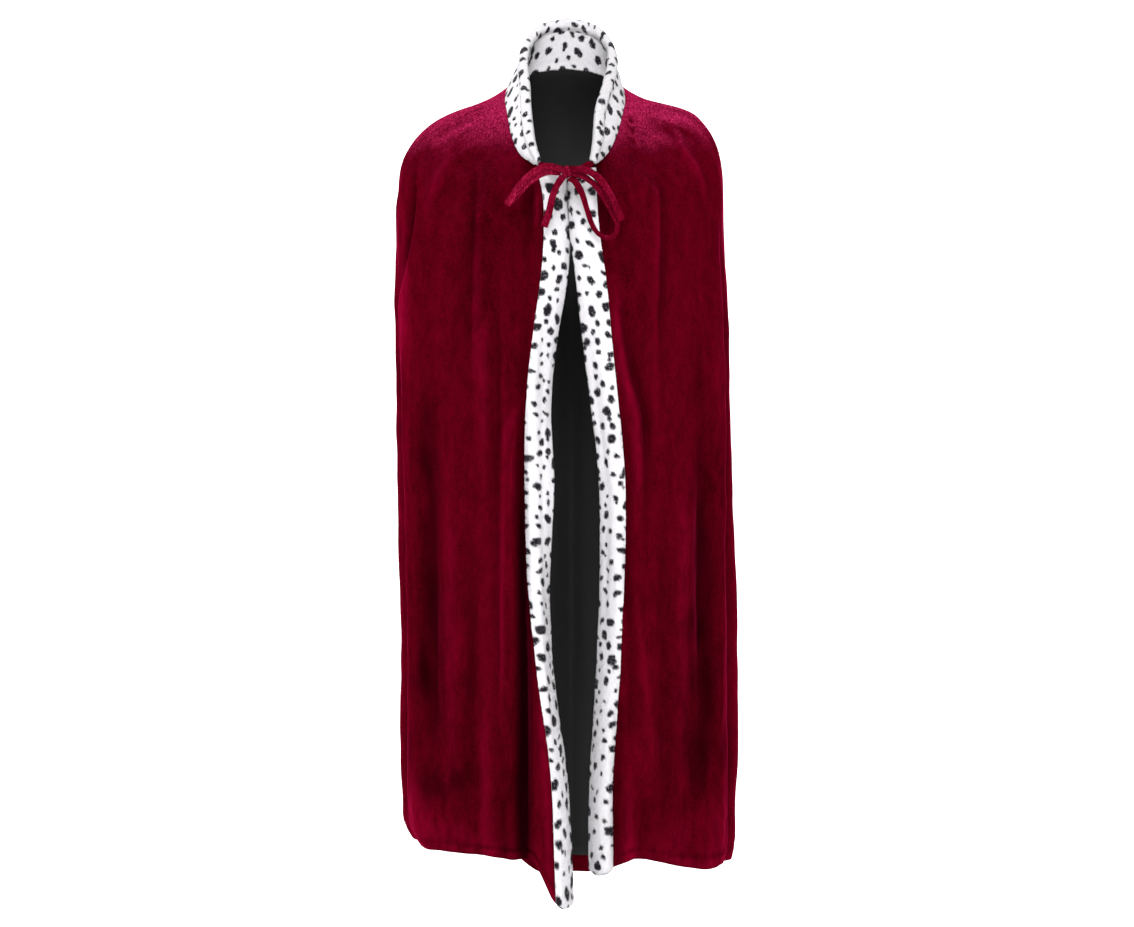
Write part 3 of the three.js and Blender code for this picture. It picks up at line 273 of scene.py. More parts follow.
def half_section(row, side):
    s = dict(zip(SECTION_NAMES, row))
    edge = hermite(EDGES[:, 0], EDGES[:, 1:], s["share"])[0]
    edge_x, wide = (edge[0], edge[1]) if side < 0 else (edge[2], edge[3])
    half_width = s["sideR"] if side < 0 else s["sideL"]
    side_z = s["sideR_Z"] if side < 0 else s["sideL_Z"]
    crest_x = edge_x + side * wide

    def on_front(x):
        c = np.maximum(0, 1 - (np.abs(x) / half_width) ** s["nFront"]) ** (1 / s["nFront"])
        return np.stack([x, s["sideY"] + (s["frontY"] - s["sideY"]) * c, side_z + (s["frontZ"] - side_z) * c**1.15], -1)

    crest = on_front(np.array([crest_x]))[0]
    deep = math.sqrt(max(9, TRIM_CHORD**2 - wide**2))
    chord, lean = math.hypot(wide, deep), math.atan2(deep, wide)
    half = 0.01
    while math.sin(half) / half > chord / TRIM_OUT and half < 1.4:
        half += 0.002
    radius = chord / 2 / math.sin(half)
    a = lean + half - 2 * half * np.arange(48) / 48
    strip = np.stack(
        [crest_x - side * radius * (np.sin(a) - math.sin(lean - half)), crest[1] + radius * (math.cos(lean - half) - np.cos(a)), np.full(48, crest[2])],
        -1,
    )
    start = math.asin(min(1, abs(crest_x) / half_width) ** (s["nFront"] / 2))
    a = np.linspace(start, math.pi / 2, 240)
    front = on_front(side * half_width * np.sin(a) ** (2 / s["nFront"]))
    a = np.linspace(math.pi / 2, 0, 260)[1:]
    c = np.cos(a) ** (2 / s["nBack"])
    back = np.stack([side * half_width * np.sin(a) ** (2 / s["nBack"]), s["sideY"] + (s["backY"] - s["sideY"]) * c, side_z + (s["backZ"] - side_z) * c ** s["dip"]], -1)
    return np.vstack([strip, front, back])


def half_neckline(side):
    edge_x = EDGES[0, 1] if side < 0 else EDGES[0, 3]
    wider = WIDER_RIGHT if side < 0 else [0] * 9
    return through([(side * (x + wider[i]) if i else edge_x, y, z) for i, (x, y, z) in enumerate(NECKLINE)], 90)


SHARES = np.array([0] + [r[0] for r in SECTIONS], float)
RINGS = {s: [half_neckline(s)] + [half_section(r, s) for r in SECTIONS] for s in (-1, 1)}


def bare(side, columns, shares):
    rows = []
    for line in RINGS[side]:
        total = lengths(line)[-1]
        d = np.where(columns < STRIP, TRIM_OUT * columns / STRIP, TRIM_OUT + (total - TRIM_OUT) * (columns - STRIP) / (1 - STRIP))
        rows.append(on_line(line, d))
    return hermite(SHARES, np.array(rows), shares)


# ------------------------------------------------------------------------------------------ the draped surface
def relaxed(p, times, axis):
    """Smooths a grid along one axis and keeps its ends in place."""
    p = np.moveaxis(p, axis, 0).copy()
    for _ in range(times):
        q = np.concatenate([2 * p[:1] - p[1:2], p, 2 * p[-1:] - p[-2:-1]])
        p = 0.25 * q[:-2] + 0.5 * q[1:-1] + 0.25 * q[2:]
    return np.moveaxis(p, 0, axis)


def grid_normals(p):
    across = np.gradient(p, axis=1)
    down = np.gradient(p, axis=0)
    return unit(np.cross(across, down))


def cloth_noise(shape, spacing, reach, seed):
    """Smooth noise over a grid, of unit strength. spacing and reach are (down, across) in mm."""
    rows, cols = shape
    pad = 64
    field = np.random.default_rng(seed).standard_normal((rows + pad, cols + pad))
    fr, fc = np.fft.fftfreq(rows + pad, spacing[0]), np.fft.rfftfreq(cols + pad, spacing[1])
    gain = np.exp(-2 * (math.pi * reach[0] * fr[:, None]) ** 2 - 2 * (math.pi * reach[1] * fc[None]) ** 2)
    out = np.fft.irfft2(np.fft.rfft2(field) * gain, (rows + pad, cols + pad))[:rows, :cols]
    return out / out.std()


HALF_COLUMNS = np.concatenate([np.linspace(0, STRIP, 25)[:-1], np.linspace(STRIP, 1, 176)])
AROUND = np.concatenate([-(1 - HALF_COLUMNS), (1 - HALF_COLUMNS)[::-1][1:]])
DOWN = np.linspace(0, 1.012, 324)
SPACING = (1250 / 320, 4.4)


def crease_height(p, along):
    """Height of the main creases over a grid; along is the distance along each row."""
    total = np.zeros(p.shape[:2])
    x, y, z = p[..., 0], p[..., 1], p[..., 2]
    behind = np.interp(np.arange(p.shape[1]), [0, p.shape[1] - 1], [0, 1])
    for face, rows in CREASES:
        rows = sorted(rows, reverse=True)
        table = np.array(rows, float)
        zs = -table[:, 0]
        want = [np.interp(-z, zs, table[:, k]) for k in (1, 2, 3, 4)]
        if face in ("front", "back"):
            found, miss = (y < 5) if face == "front" else (y > 5), x - want[0]
        else:
            found, miss = (x < -120) if face == "right" else (x > 120), y - want[0]
        score = np.where(found, np.abs(miss), 1e6)
        middle = score.argmin(1)
        at = np.arange(len(middle))
        ok = score[at, middle] < 12
        # the exact place between two columns
        lo, hi = np.maximum(middle - 1, 0), np.minimum(middle + 1, p.shape[1] - 1)
        slope = (miss[at, hi] - miss[at, lo]) / np.maximum(1e-6, along[at, hi] - along[at, lo])
        slope = np.where(np.abs(slope) < 0.05, np.sign(slope + 1e-9) * 0.05, slope)
        shift = np.clip(-miss[at, middle] / slope, -6, 6)
        place = along[at, middle] + shift
        kernel = np.exp(-0.5 * (np.arange(-9, 10) / 3.5) ** 2)
        kernel /= kernel.sum()
        if ok.sum() < 6:
            continue
        good = np.where(ok)[0]
        place = np.interp(at, good, place[good])
        smoothed = np.convolve(np.pad(place, 9, "reflect", reflect_type="odd"), kernel, "valid")
        place = smoothed
        depth = np.where(ok, want[1][at, middle], 0)
        depth = np.convolve(np.pad(depth, 9, "edge"), kernel, "valid")
        d = along - place[:, None]
        # towards +X is towards a larger distance along the row only on the back
        plus = slope > 0
        right = np.where(plus, want[2][at, middle], want[3][at, middle])[:, None]
        left = np.where(plus, want[3][at, middle], want[2][at, middle])[:, None]
        total += 1.4 * depth[:, None] * np.exp(-((d / np.where(d > 0, right, left)) ** 2))
    return total


def local(p, x, z, half_x, half_z, turn):
    """Distances from a place on a face, across and down in a turned frame, and how near each point is."""
    a = math.radians(turn)
    dx, dz = p[..., 0] - x, p[..., 2] - z
    u, v = dx * math.cos(a) + dz * math.sin(a), dz * math.cos(a) - dx * math.sin(a)
    return u, v, np.exp(-((u / half_x) ** 2) - (v / half_z) ** 2)


def drape():
    right = bare(-1, HALF_COLUMNS, DOWN)
    left = bare(1, HALF_COLUMNS, DOWN)
    p = np.concatenate([right, left[:, ::-1][:, 1:]], 1)
    p = relaxed(p, 10, 1)
    column = 1 - np.abs(AROUND)
    width = column * TRIM_OUT / STRIP
    share = np.clip((DOWN - CORNER["start"]) / (1 - CORNER["start"]), 0, 1) ** 1.5
    for side, drop in ((-1, CORNER["right"]), (1, CORNER["left"])):
        here = (AROUND < 0) if side < 0 else (AROUND > 0)
        p[..., 2] -= drop * share[:, None] * ((1 - smooth((width - CORNER["flat"]) / CORNER["width"])) * here)[None]
    rise = sum(up * np.exp(-(((p[..., 0] - x) / half) ** 2)) for x, up, half in HEM_WAVES)
    p[..., 2] += rise * smooth((35 - p[..., 1]) / 40) * np.clip((DOWN - 0.9) / 0.1, 0, 1.1)[:, None] ** 1.5
    along = np.concatenate([np.zeros((len(DOWN), 1)), np.cumsum(np.linalg.norm(np.diff(p, axis=1), axis=2), 1)], 1)
    n = grid_normals(p)
    height = crease_height(p, along)
    crease = height.copy()
    shape = p.shape[:2]
    free = smooth(DOWN / 0.12)[:, None]
    hang = smooth((DOWN - 0.1) / 0.5)[:, None]
    height += free * (0.9 + 0.7 * hang) * cloth_noise(shape, SPACING, (105, 13), 5)
    height += free * 0.45 * cloth_noise(shape, SPACING, (26, 7), 6)
    height += 0.5 * cloth_noise(shape, SPACING, (14, 14), 7) * smooth((DOWN - 0.02) / 0.05)[:, None]
    bend = cloth_noise(shape, SPACING, (30, 30), 12)
    for face, x, z, half_x, half_z, wave, turn, tall in PUCKERS:
        u, v, near = local(p, x, z, half_x, half_z, turn)
        height += np.where((p[..., 1] < 0) == (face == "front"), near, 0) * tall * np.cos(2 * math.pi * v / wave + 1.1 * bend)
    in_band = 1 - smooth((width - 30) / 30)
    height *= 1 - 0.55 * in_band[None]
    # the stitched hem: a shallow channel above the edge, with small puckers under it
    below = (1 - DOWN) * 1250
    pucker = cloth_noise(shape, SPACING, (9, 6), 8)
    near_hem = np.exp(-(((below - 11) / 11) ** 2))[:, None]
    height += near_hem * 0.55 * pucker - 0.9 * np.exp(-(((below - TURN_UP) / 3.2) ** 2))[:, None] * (1 - in_band[None])
    # the neck seam and the side seams
    height -= 0.8 * np.exp(-((DOWN * 1250 / 5) ** 2))[:, None]
    for seam in (-(1 - SIDE_SEAM), 1 - SIDE_SEAM):
        off = (AROUND - seam) * 820
        height -= 0.45 * np.exp(-((off / 3.5) ** 2))[None]
        height += 0.12 * np.exp(-((np.abs(off) - 6) ** 2) / 9)[None] * (1 + 0.8 * cloth_noise((shape[0], 1), SPACING, (12, 1), 9))
    from_band = np.maximum(in_band[None], 1 - smooth((DOWN - 0.004) / 0.016)[:, None])
    low = height.copy()
    for k in range(1, 4):
        for axis in (0, 1):
            low = np.minimum(low, np.minimum(np.roll(height, k, axis), np.roll(height, -k, axis)))
    low = relaxed(relaxed(low, 6, 0), 3, 1)
    low = np.minimum(low, height)
    under = p + n * (low * (1 - from_band) + height * from_band)[..., None]
    p = p + n * height[..., None]
    # small ripples of the hem line up and down
    sway = cloth_noise((1, shape[1]), SPACING, (1, 22), 11)[0] * (1 - in_band)
    last = [np.clip((DOWN - (1 - reach / 1250)) * 1250 / reach, 0, 1.2)[:, None] ** 2 for reach in (44, 32)]
    for q in (p, under):
        x = q[..., 0].copy()
        q[..., 0] += 14 * last[0] * smooth((-x - 205) / 45) - 6 * last[1] * smooth((x - 222) / 40)
        q[..., 2] += (1.6 * sway)[None] * smooth((DOWN - 0.9) / 0.1)[:, None]
    # Heights used only for painted light and shade near the hem: the puckers above the edge are painted paler and
    # darker, and the turn-up channel gets a painted shadow line.
    hem_paint = 6.0 * near_hem * (0.5 + 0.6 * pucker) - 11 * np.exp(-(((below - TURN_UP * 0.75) / 3.2) ** 2))[:, None] * (0.75 + 0.35 * bend)
    return p, grid_normals(p), under, grid_normals(under), (crease + hem_paint)[..., None]


CLOTH, CLOTH_N, UNDER, UNDER_N, SHADING_HEIGHTS = drape()
# Painted light and shade from the patches above, broken up by noise; it paints the velvet paler or darker.
PAINTED_LIGHT_FIELD = np.zeros(CLOTH.shape[:2])
ragged = 1 + 0.45 * cloth_noise(PAINTED_LIGHT_FIELD.shape, SPACING, (24, 9), 13)
for face, x, z, half_x, half_z, turn, strength in LIGHT_SHADE_PATCHES:
    PAINTED_LIGHT_FIELD += np.where((CLOTH[..., 1] < 0) == (face == "front"), strength * local(CLOTH, x, z, half_x, half_z, turn)[2], 0) * np.clip(ragged, 0, 2)
PAINTED_LIGHT_FIELD = PAINTED_LIGHT_FIELD[..., None]


def sample(grid, arounds, shares):
    """Values of a grid over the cape at other columns and rows."""
    fi = np.interp(shares, DOWN, np.arange(len(DOWN)))
    fj = np.interp(arounds, AROUND, np.arange(len(AROUND)))
    i, j = np.minimum(fi.astype(int), len(DOWN) - 2), np.minimum(fj.astype(int), len(AROUND) - 2)
    u, v = (fi - i)[:, None, None], (fj - j)[None, :, None]
    g = lambda a, b: grid[np.ix_(a, b)]
    return (1 - u) * ((1 - v) * g(i, j) + v * g(i, j + 1)) + u * ((1 - v) * g(i + 1, j) + v * g(i + 1, j + 1))


def at(arounds, shares):
    return sample(CLOTH, arounds, shares), unit(sample(CLOTH_N, arounds, shares))


# ------------------------------------------------------------------------------------------ meshes
def make(name, verts, faces, material, uvs=None, sharp=None, attributes=None):
    """verts in mm; faces as an (n, 3 or 4) array; uvs per vertex."""
    me = bpy.data.meshes.new(name)
    verts = np.asarray(verts, np.float32).reshape(-1, 3) * MM
    faces = [np.asarray(f, np.int32) for f in (faces if isinstance(faces, list) else [faces])]
    loops = np.concatenate([f.ravel() for f in faces])
    counts = np.concatenate([np.full(len(f), f.shape[1]) for f in faces])
    me.vertices.add(len(verts))
    me.vertices.foreach_set("co", verts.ravel())
    me.loops.add(len(loops))
    me.loops.foreach_set("vertex_index", loops)
    me.polygons.add(len(counts))
    me.polygons.foreach_set("loop_start", np.concatenate([[0], np.cumsum(counts)[:-1]]).astype(np.int32))
    me.polygons.foreach_set("use_smooth", np.ones(len(counts), bool))
    if uvs is not None:
        layer = me.uv_layers.new(name="OFBake")
        layer.uv.foreach_set("vector", np.asarray(uvs, np.float32)[loops].ravel())
    for key, values in (attributes or {}).items():
        me.attributes.new(key, "FLOAT", "POINT").data.foreach_set("value", np.asarray(values, np.float32))
    me.update(calc_edges=True)
    me.validate()
    if sharp:
        me.set_sharp_from_angle(angle=math.radians(sharp))
    ob = bpy.data.objects.new(name, me)
    bpy.context.scene.collection.objects.link(ob)
    me.materials.append(material)
    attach(ob, "root")
    return ob


def quads(rows, cols, offset=0, turned=False):
    r, c = np.meshgrid(np.arange(rows - 1), np.arange(cols - 1), indexing="ij")
    a = (r * cols + c).ravel() + offset
    f = np.stack([a, a + cols, a + cols + 1, a + 1], 1)
    return f[:, ::-1] if turned else f


def shell(name, p, n, depths, material, rounded=0.5, values=None, both=0.0):
    """A closed thin wall over a grid: its outside at depths[0] under the surface and its inside at depths[1]."""
    rows, cols = p.shape[:2]
    d0 = np.asarray(depths[0])[..., None] if np.ndim(depths[0]) else depths[0]
    d1 = np.asarray(depths[1])[..., None] if np.ndim(depths[1]) else depths[1]
    outer, inner = p - n * d0, p - n * d1
    ring = np.concatenate([np.arange(cols), np.arange(1, rows) * cols + cols - 1, (rows - 1) * cols + np.arange(cols - 1)[::-1], np.arange(1, rows - 1)[::-1] * cols])
    flat_o, flat_i = outer.reshape(-1, 3), inner.reshape(-1, 3)
    # the edge bulges out a little, so that it reads as a fold of cloth
    away = np.zeros_like(p)
    away[0] += unit(p[0] - p[1])
    away[-1] += unit(p[-1] - p[-2])
    away[:, 0] += unit(p[:, 0] - p[:, 1])
    away[:, -1] += unit(p[:, -1] - p[:, -2])
    rim = 0.5 * (flat_o[ring] + flat_i[ring]) + away.reshape(-1, 3)[ring] * rounded
    verts = np.vstack([flat_o, flat_i, rim])
    count = rows * cols
    k = np.arange(len(ring))
    nxt = (k + 1) % len(ring)
    side_o = np.stack([ring[k], ring[nxt], 2 * count + nxt, 2 * count + k], 1)
    side_i = np.stack([2 * count + k, 2 * count + nxt, count + ring[nxt], count + ring[k]], 1)
    faces = np.vstack([quads(rows, cols), quads(rows, cols, count, True), side_o, side_i])
    v, u = np.meshgrid(np.linspace(0.01, 0.99, rows), np.linspace(0, 1, cols), indexing="ij")
    uv_o = np.stack([0.01 + 0.66 * u, v], -1).reshape(-1, 2)
    uv_i = np.stack([0.99 - 0.28 * u, v], -1).reshape(-1, 2)
    uvs = np.vstack([uv_o, uv_i, uv_o[ring] * 0.999 + 0.0005])
    marks = {k: np.concatenate([v.ravel(), v.ravel() * both, v.ravel()[ring]]) for k, v in (values or {}).items()}
    return make(name, verts, faces, material, uvs, 70, marks)


# ------------------------------------------------------------------------------------------ materials
class Nodes:
    def __init__(self, name):
        self.mat = bpy.data.materials.new(name)
        self.mat.use_nodes = True
        self.tree = self.mat.node_tree
        self.tree.nodes.clear()
        self.out = self.add("ShaderNodeOutputMaterial")
        self.bsdf = self.add("ShaderNodeBsdfPrincipled")
        self.link(self.bsdf, "BSDF", self.out, "Surface")
        self.coord = self.add("ShaderNodeTexCoord")

    def add(self, kind, **inputs):
        node = self.tree.nodes.new(kind)
        for key, value in inputs.items():
            node.inputs[key.replace("_", " ")].default_value = value
        return node

    def link(self, a, out, b, into):
        self.tree.links.new(a.outputs[out], b.inputs[into])

    def mapped(self, scale):
        node = self.add("ShaderNodeMapping")
        node.inputs["Scale"].default_value = scale
        self.link(self.coord, "Object", node, "Vector")
        return node

    def noise(self, scale, stretch=(1, 1, 1), detail=3.0, rough=0.55, distortion=0.0):
        node = self.add("ShaderNodeTexNoise", Scale=scale, Detail=detail, Roughness=rough, Distortion=distortion)
        self.link(self.mapped(stretch), "Vector", node, "Vector")
        return node

    def ramp(self, source, out, stops):
        node = self.add("ShaderNodeValToRGB")
        while len(node.color_ramp.elements) < len(stops):
            node.color_ramp.elements.new(0.5)
        for e, (at_, color) in zip(node.color_ramp.elements, stops):
            e.position = at_
            e.color = (*color, 1) if len(color) == 3 else (color[0],) * 3 + (1,)
        self.link(source, out, node, "Fac")
        return node

    def mix(self, fac, a, b, kind="MIX"):
        node = self.add("ShaderNodeMix")
        node.data_type = "RGBA"
        node.blend_type = kind
        for value, key in ((fac, 0), (a, 6), (b, 7)):
            if isinstance(value, tuple) and hasattr(value[0], "outputs"):
                self.tree.links.new(value[0].outputs[value[1]], node.inputs[key])
            else:
                node.inputs[key].default_value = value
        return node

    def math(self, kind, a, b):
        node = self.add("ShaderNodeMath")
        node.operation = kind
        for k, value in enumerate((a, b)):
            if isinstance(value, tuple):
                self.tree.links.new(value[0].outputs[value[1]], node.inputs[k])
            else:
                node.inputs[k].default_value = value
        return node

    def bump(self, height, out, strength, distance, before=None):
        node = self.add("ShaderNodeBump", Strength=strength, Distance=distance)
        self.link(height, out, node, "Height")
        if before:
            self.link(before, "Normal", node, "Normal")
        return node


def velvet(name, dark, light, sheen_tint, sheen=0.8, scale=1.0, marked=False, with_painted_shine=False):
    m = Nodes(name)
    # the crushed pile lies in patches that are longer than wide
    patch = m.noise(75 * scale, (1, 1, 0.38), 5.0, 0.62, 0.5)
    fine = m.noise(430 * scale, (1, 1, 0.6), 3.0, 0.65)
    broad = m.noise(13 * scale, (1, 1, 0.22), 2.0, 0.5)
    blend = m.math("ADD", (m.math("MULTIPLY", (patch, "Fac"), 0.35), "Value"), (m.math("MULTIPLY", (fine, "Fac"), 0.45), "Value"))
    blend = m.math("ADD", (blend, "Value"), (m.math("MULTIPLY", (broad, "Fac"), 0.25), "Value"))
    color = m.ramp(blend, "Value", [(0.38, dark), (0.67, light)])
    if marked:
        ridge_highlight, hollow_shade, top_highlight = (m.add("ShaderNodeAttribute") for _ in range(3))
        ridge_highlight.attribute_name, hollow_shade.attribute_name, top_highlight.attribute_name = "ridge_highlight", "hollow_shade", "top_highlight"
        # Painted highlight: fold crests, pale patches and the band above the hem are painted a paler red. Painted
        # shade: troughs, the hem channel and dark patches are painted near black.
        ridge_lit = m.math("MULTIPLY", (ridge_highlight, "Fac"), (m.math("MULTIPLY", (patch, "Fac"), 1.5), "Value"))
        color = m.mix((ridge_lit, "Value"), (color, "Color"), (0.19, 0.0010, 0.017, 1))
        color = m.mix((m.math("MULTIPLY", (hollow_shade, "Fac"), 0.62), "Value"), (color, 2), (0.010, 0.0001, 0.0008, 1))
        # Painted highlight: pale pink sparkle colours, painted where the shoulders face up towards the light.
        highlight_colors = m.ramp(fine, "Fac", [(0.34, (0.115, 0.0014, 0.020)), (0.5, (0.25, 0.0070, 0.044)), (0.66, (0.50, 0.026, 0.120))])
        lit = m.math("MULTIPLY", (top_highlight, "Fac"), (m.math("ADD", (m.math("MULTIPLY", (patch, "Fac"), 0.9), "Value"), 0.5), "Value"))
        color = m.mix((lit, "Value"), (color, 2), (highlight_colors, "Color"))
        m.link(color, 2, m.bsdf, "Base Color")
    elif with_painted_shine:
        # Painted highlight on the ties and knot: paler sparkle colours painted by the per-vertex mark.
        painted_shine = m.add("ShaderNodeAttribute")
        painted_shine.attribute_name = "painted_shine"
        highlight_colors = m.ramp(fine, "Fac", [(0.32, (0.050, 0.0003, 0.006)), (0.50, (0.26, 0.0040, 0.032)), (0.68, (0.80, 0.045, 0.150))])
        lit = m.math("MULTIPLY", (painted_shine, "Fac"), (m.math("ADD", (m.math("MULTIPLY", (patch, "Fac"), 1.6), "Value"), 0.2), "Value"))
        color = m.mix((lit, "Value"), (color, "Color"), (highlight_colors, "Color"))
        m.link(color, 2, m.bsdf, "Base Color")
    else:
        m.link(color, "Color", m.bsdf, "Base Color")
    m.link(m.ramp(blend, "Value", [(0.4, (0.8,)), (0.65, (0.6,))]), "Color", m.bsdf, "Roughness")
    b = m.bump(patch, "Fac", 0.4, 0.0012)
    b = m.bump(fine, "Fac", 0.55, 0.0006, b)
    m.link(b, "Normal", m.bsdf, "Normal")
    m.bsdf.inputs["Specular IOR Level"].default_value = 0.0
    m.bsdf.inputs["Sheen Weight"].default_value = sheen
    m.bsdf.inputs["Sheen Roughness"].default_value = 0.25
    m.bsdf.inputs["Sheen Tint"].default_value = (*sheen_tint, 1)
    return m.mat


def lining_cloth():
    m = Nodes("lining")
    thread = m.noise(1400, (1, 1, 1), 2.0, 0.5)
    broad = m.noise(22, (1, 1, 0.25), 3.0, 0.5)
    color = m.ramp(broad, "Fac", [(0.3, (0.0285, 0.0285, 0.029)), (0.75, (0.0335, 0.0335, 0.034))])
    # Painted shade: the lining is painted darker near the neck and the hem, where more light reaches it.
    worn = m.add("ShaderNodeAttribute")
    worn.attribute_name = "worn"
    color = m.mix((worn, "Fac"), (color, "Color"), (0.012, 0.012, 0.0122, 1))
    m.link(color, 2, m.bsdf, "Base Color")
    m.link(m.ramp(thread, "Fac", [(0.3, (0.78,)), (0.7, (0.66,))]), "Color", m.bsdf, "Roughness")
    b = m.bump(broad, "Fac", 0.25, 0.002)
    b = m.bump(thread, "Fac", 0.2, 0.0002, b)
    m.link(b, "Normal", m.bsdf, "Normal")
    m.bsdf.inputs["Specular IOR Level"].default_value = 0.04
    return m.mat


WHITE = (0.80, 0.785, 0.81)
BLACK = (0.012, 0.010, 0.014)


def fur_material(name, bump):
    m = Nodes(name)
    spot = m.add("ShaderNodeAttribute")
    spot.attribute_name = "spot"
    tone = m.add("ShaderNodeAttribute")
    tone.attribute_name = "tone"
    tufts = m.noise(260, (1, 1, 0.7), 3.0, 0.55)
    white = m.ramp(tone, "Fac", [(0.0, tuple(0.74 * c for c in WHITE)), (1.0, tuple(min(1, 1.06 * c) for c in WHITE))])
    white = m.mix((tufts, "Fac"), (white, "Color"), (*WHITE, 1))
    black = m.ramp(tone, "Fac", [(0.0, tuple(0.6 * c for c in BLACK)), (1.0, tuple(1.9 * c for c in BLACK))])
    if not bump:
        shade = m.add("ShaderNodeAttribute")
        shade.attribute_name = "shade"
        white = m.mix(1.0, (white, 2), (shade, "Color"), "MULTIPLY")
    m.link(m.mix((spot, "Fac"), (white, 2), (black, "Color")), 2, m.bsdf, "Base Color")
    m.bsdf.inputs["Roughness"].default_value = 0.85
    m.bsdf.inputs["Specular IOR Level"].default_value = 0.05
    m.bsdf.inputs["Sheen Weight"].default_value = 0.06
    m.bsdf.inputs["Sheen Roughness"].default_value = 0.6
    if bump:
        b = m.bump(m.noise(900, (1, 1, 0.5), 3.0, 0.6), "Fac", 0.5, 0.0008)
        m.link(b, "Normal", m.bsdf, "Normal")
    return m.mat


VELVET_MAT = velvet("velvet", (0.026, 0.0001, 0.0015), (0.088, 0.0003, 0.0058), (1.0, 0.022, 0.15), 0.30, 1.0, True)
TIE_MAT = velvet("tie_velvet", (0.026, 0.0001, 0.0018), (0.125, 0.0008, 0.0095), (1.0, 0.03, 0.17), 0.22, 1.5, with_painted_shine=True)
LINING_MAT = lining_cloth()
FUR_MAT = fur_material("fur_backing", True)
PILE_MAT = fur_material("fur_pile", False)

# ------------------------------------------------------------------------------------------ velvet and lining
SEAM = 0.00035
PANELS = {
    "front_right": (-1.0, -(1 - SIDE_SEAM) - SEAM, (0.44, 1.30)),
    "back": (-(1 - SIDE_SEAM) + SEAM, 1 - SIDE_SEAM - SEAM, (1.05, 1.42)),
    "front_left": (1 - SIDE_SEAM + SEAM, 1.0, (0.43, 1.28)),
}
inside = VELVET + SEAM_GAP


def piece_columns(lo, hi, step):
    inner = AROUND[(AROUND > lo + 0.002) & (AROUND < hi - 0.002)][::step]
    return np.concatenate([[lo], inner, [hi]])


def highlight_edge(p):
    """An uneven line, so that the painted highlight on the shoulder tops ends in tufts."""
    x = p[..., 0] + 0.3 * p[..., 2]
    return np.sin(x / 11.0 + 1.3 * np.sin(x / 37)) + 0.6 * np.sin(x / 4.7 + 1.7 * np.sin(x / 19)) + 1.1 * np.sin(x / 31.0 + 2.0)


for key, (lo, hi, flat) in PANELS.items():
    cols = piece_columns(lo, hi, 1)
    rows = np.unique(np.concatenate([np.linspace(0, 1 - 30 / 1250, 128), np.linspace(1 - 30 / 1250, 1, 9)]))
    p, n = at(cols, rows)
    hem = smooth((rows - (1 - (TURN_UP + 5) / 1250)) * 1250 / 3)
    thick = VELVET + (inside + LINING - VELVET) * hem[:, None] + np.zeros(p.shape[:2])
    folds = sample(SHADING_HEIGHTS, cols, rows)[..., 0]
    patch_light = sample(PAINTED_LIGHT_FIELD, cols, rows)[..., 0]
    # Painted light and shade on the velvet: crests, the band above the hem and pale patches are painted paler; troughs,
    # the hem channel and dark patches darker; the upward-facing shoulder tops pale.
    marks = {
        "ridge_highlight": 0.5 * np.clip(folds / 10, 0, 1.3) ** 1.4 + 0.09 * smooth((rows - 0.952) / 0.03)[:, None] + 0.5 * np.clip(patch_light, 0, 1),
        "hollow_shade": np.clip(-folds / 14, 0, 1.6) + np.clip(-patch_light, 0, 1),
        # painted highlight on the shoulder tops, stronger where the cloth faces up, fading out lower down along an
        # uneven line
        "top_highlight": 0.82 * smooth((n[..., 2] - 0.26) / 0.46) * (1 - 0.85 * smooth((-p[..., 2] - 64 + 5 * highlight_edge(p)) / 38)),
    }
    ob = shell("cloth_" + key, p, n, (0.0, thick), VELVET_MAT, 1.0, marks)
    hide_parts(key)
    cols = piece_columns(lo, hi, 2)
    rows = np.linspace(0, 1 - (TURN_UP + 5.5) / 1250, 84)
    p, n = sample(UNDER, cols, rows), unit(sample(UNDER_N, cols, rows))
    # painted shade on the lining: full at the neck, none in the middle, 0.8 at the hem
    lining_shade_mask = np.maximum(1 - smooth((rows - 0.03) / 0.12), 0.8 * smooth((rows - 0.72) / 0.25))[:, None] + np.zeros(p.shape[:2])
    li = shell("lining_cloth_" + key, p, n, (inside, inside + LINING), LINING_MAT, 0.3, {"worn": lining_shade_mask}, 1.0)
    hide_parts("lining_" + key)


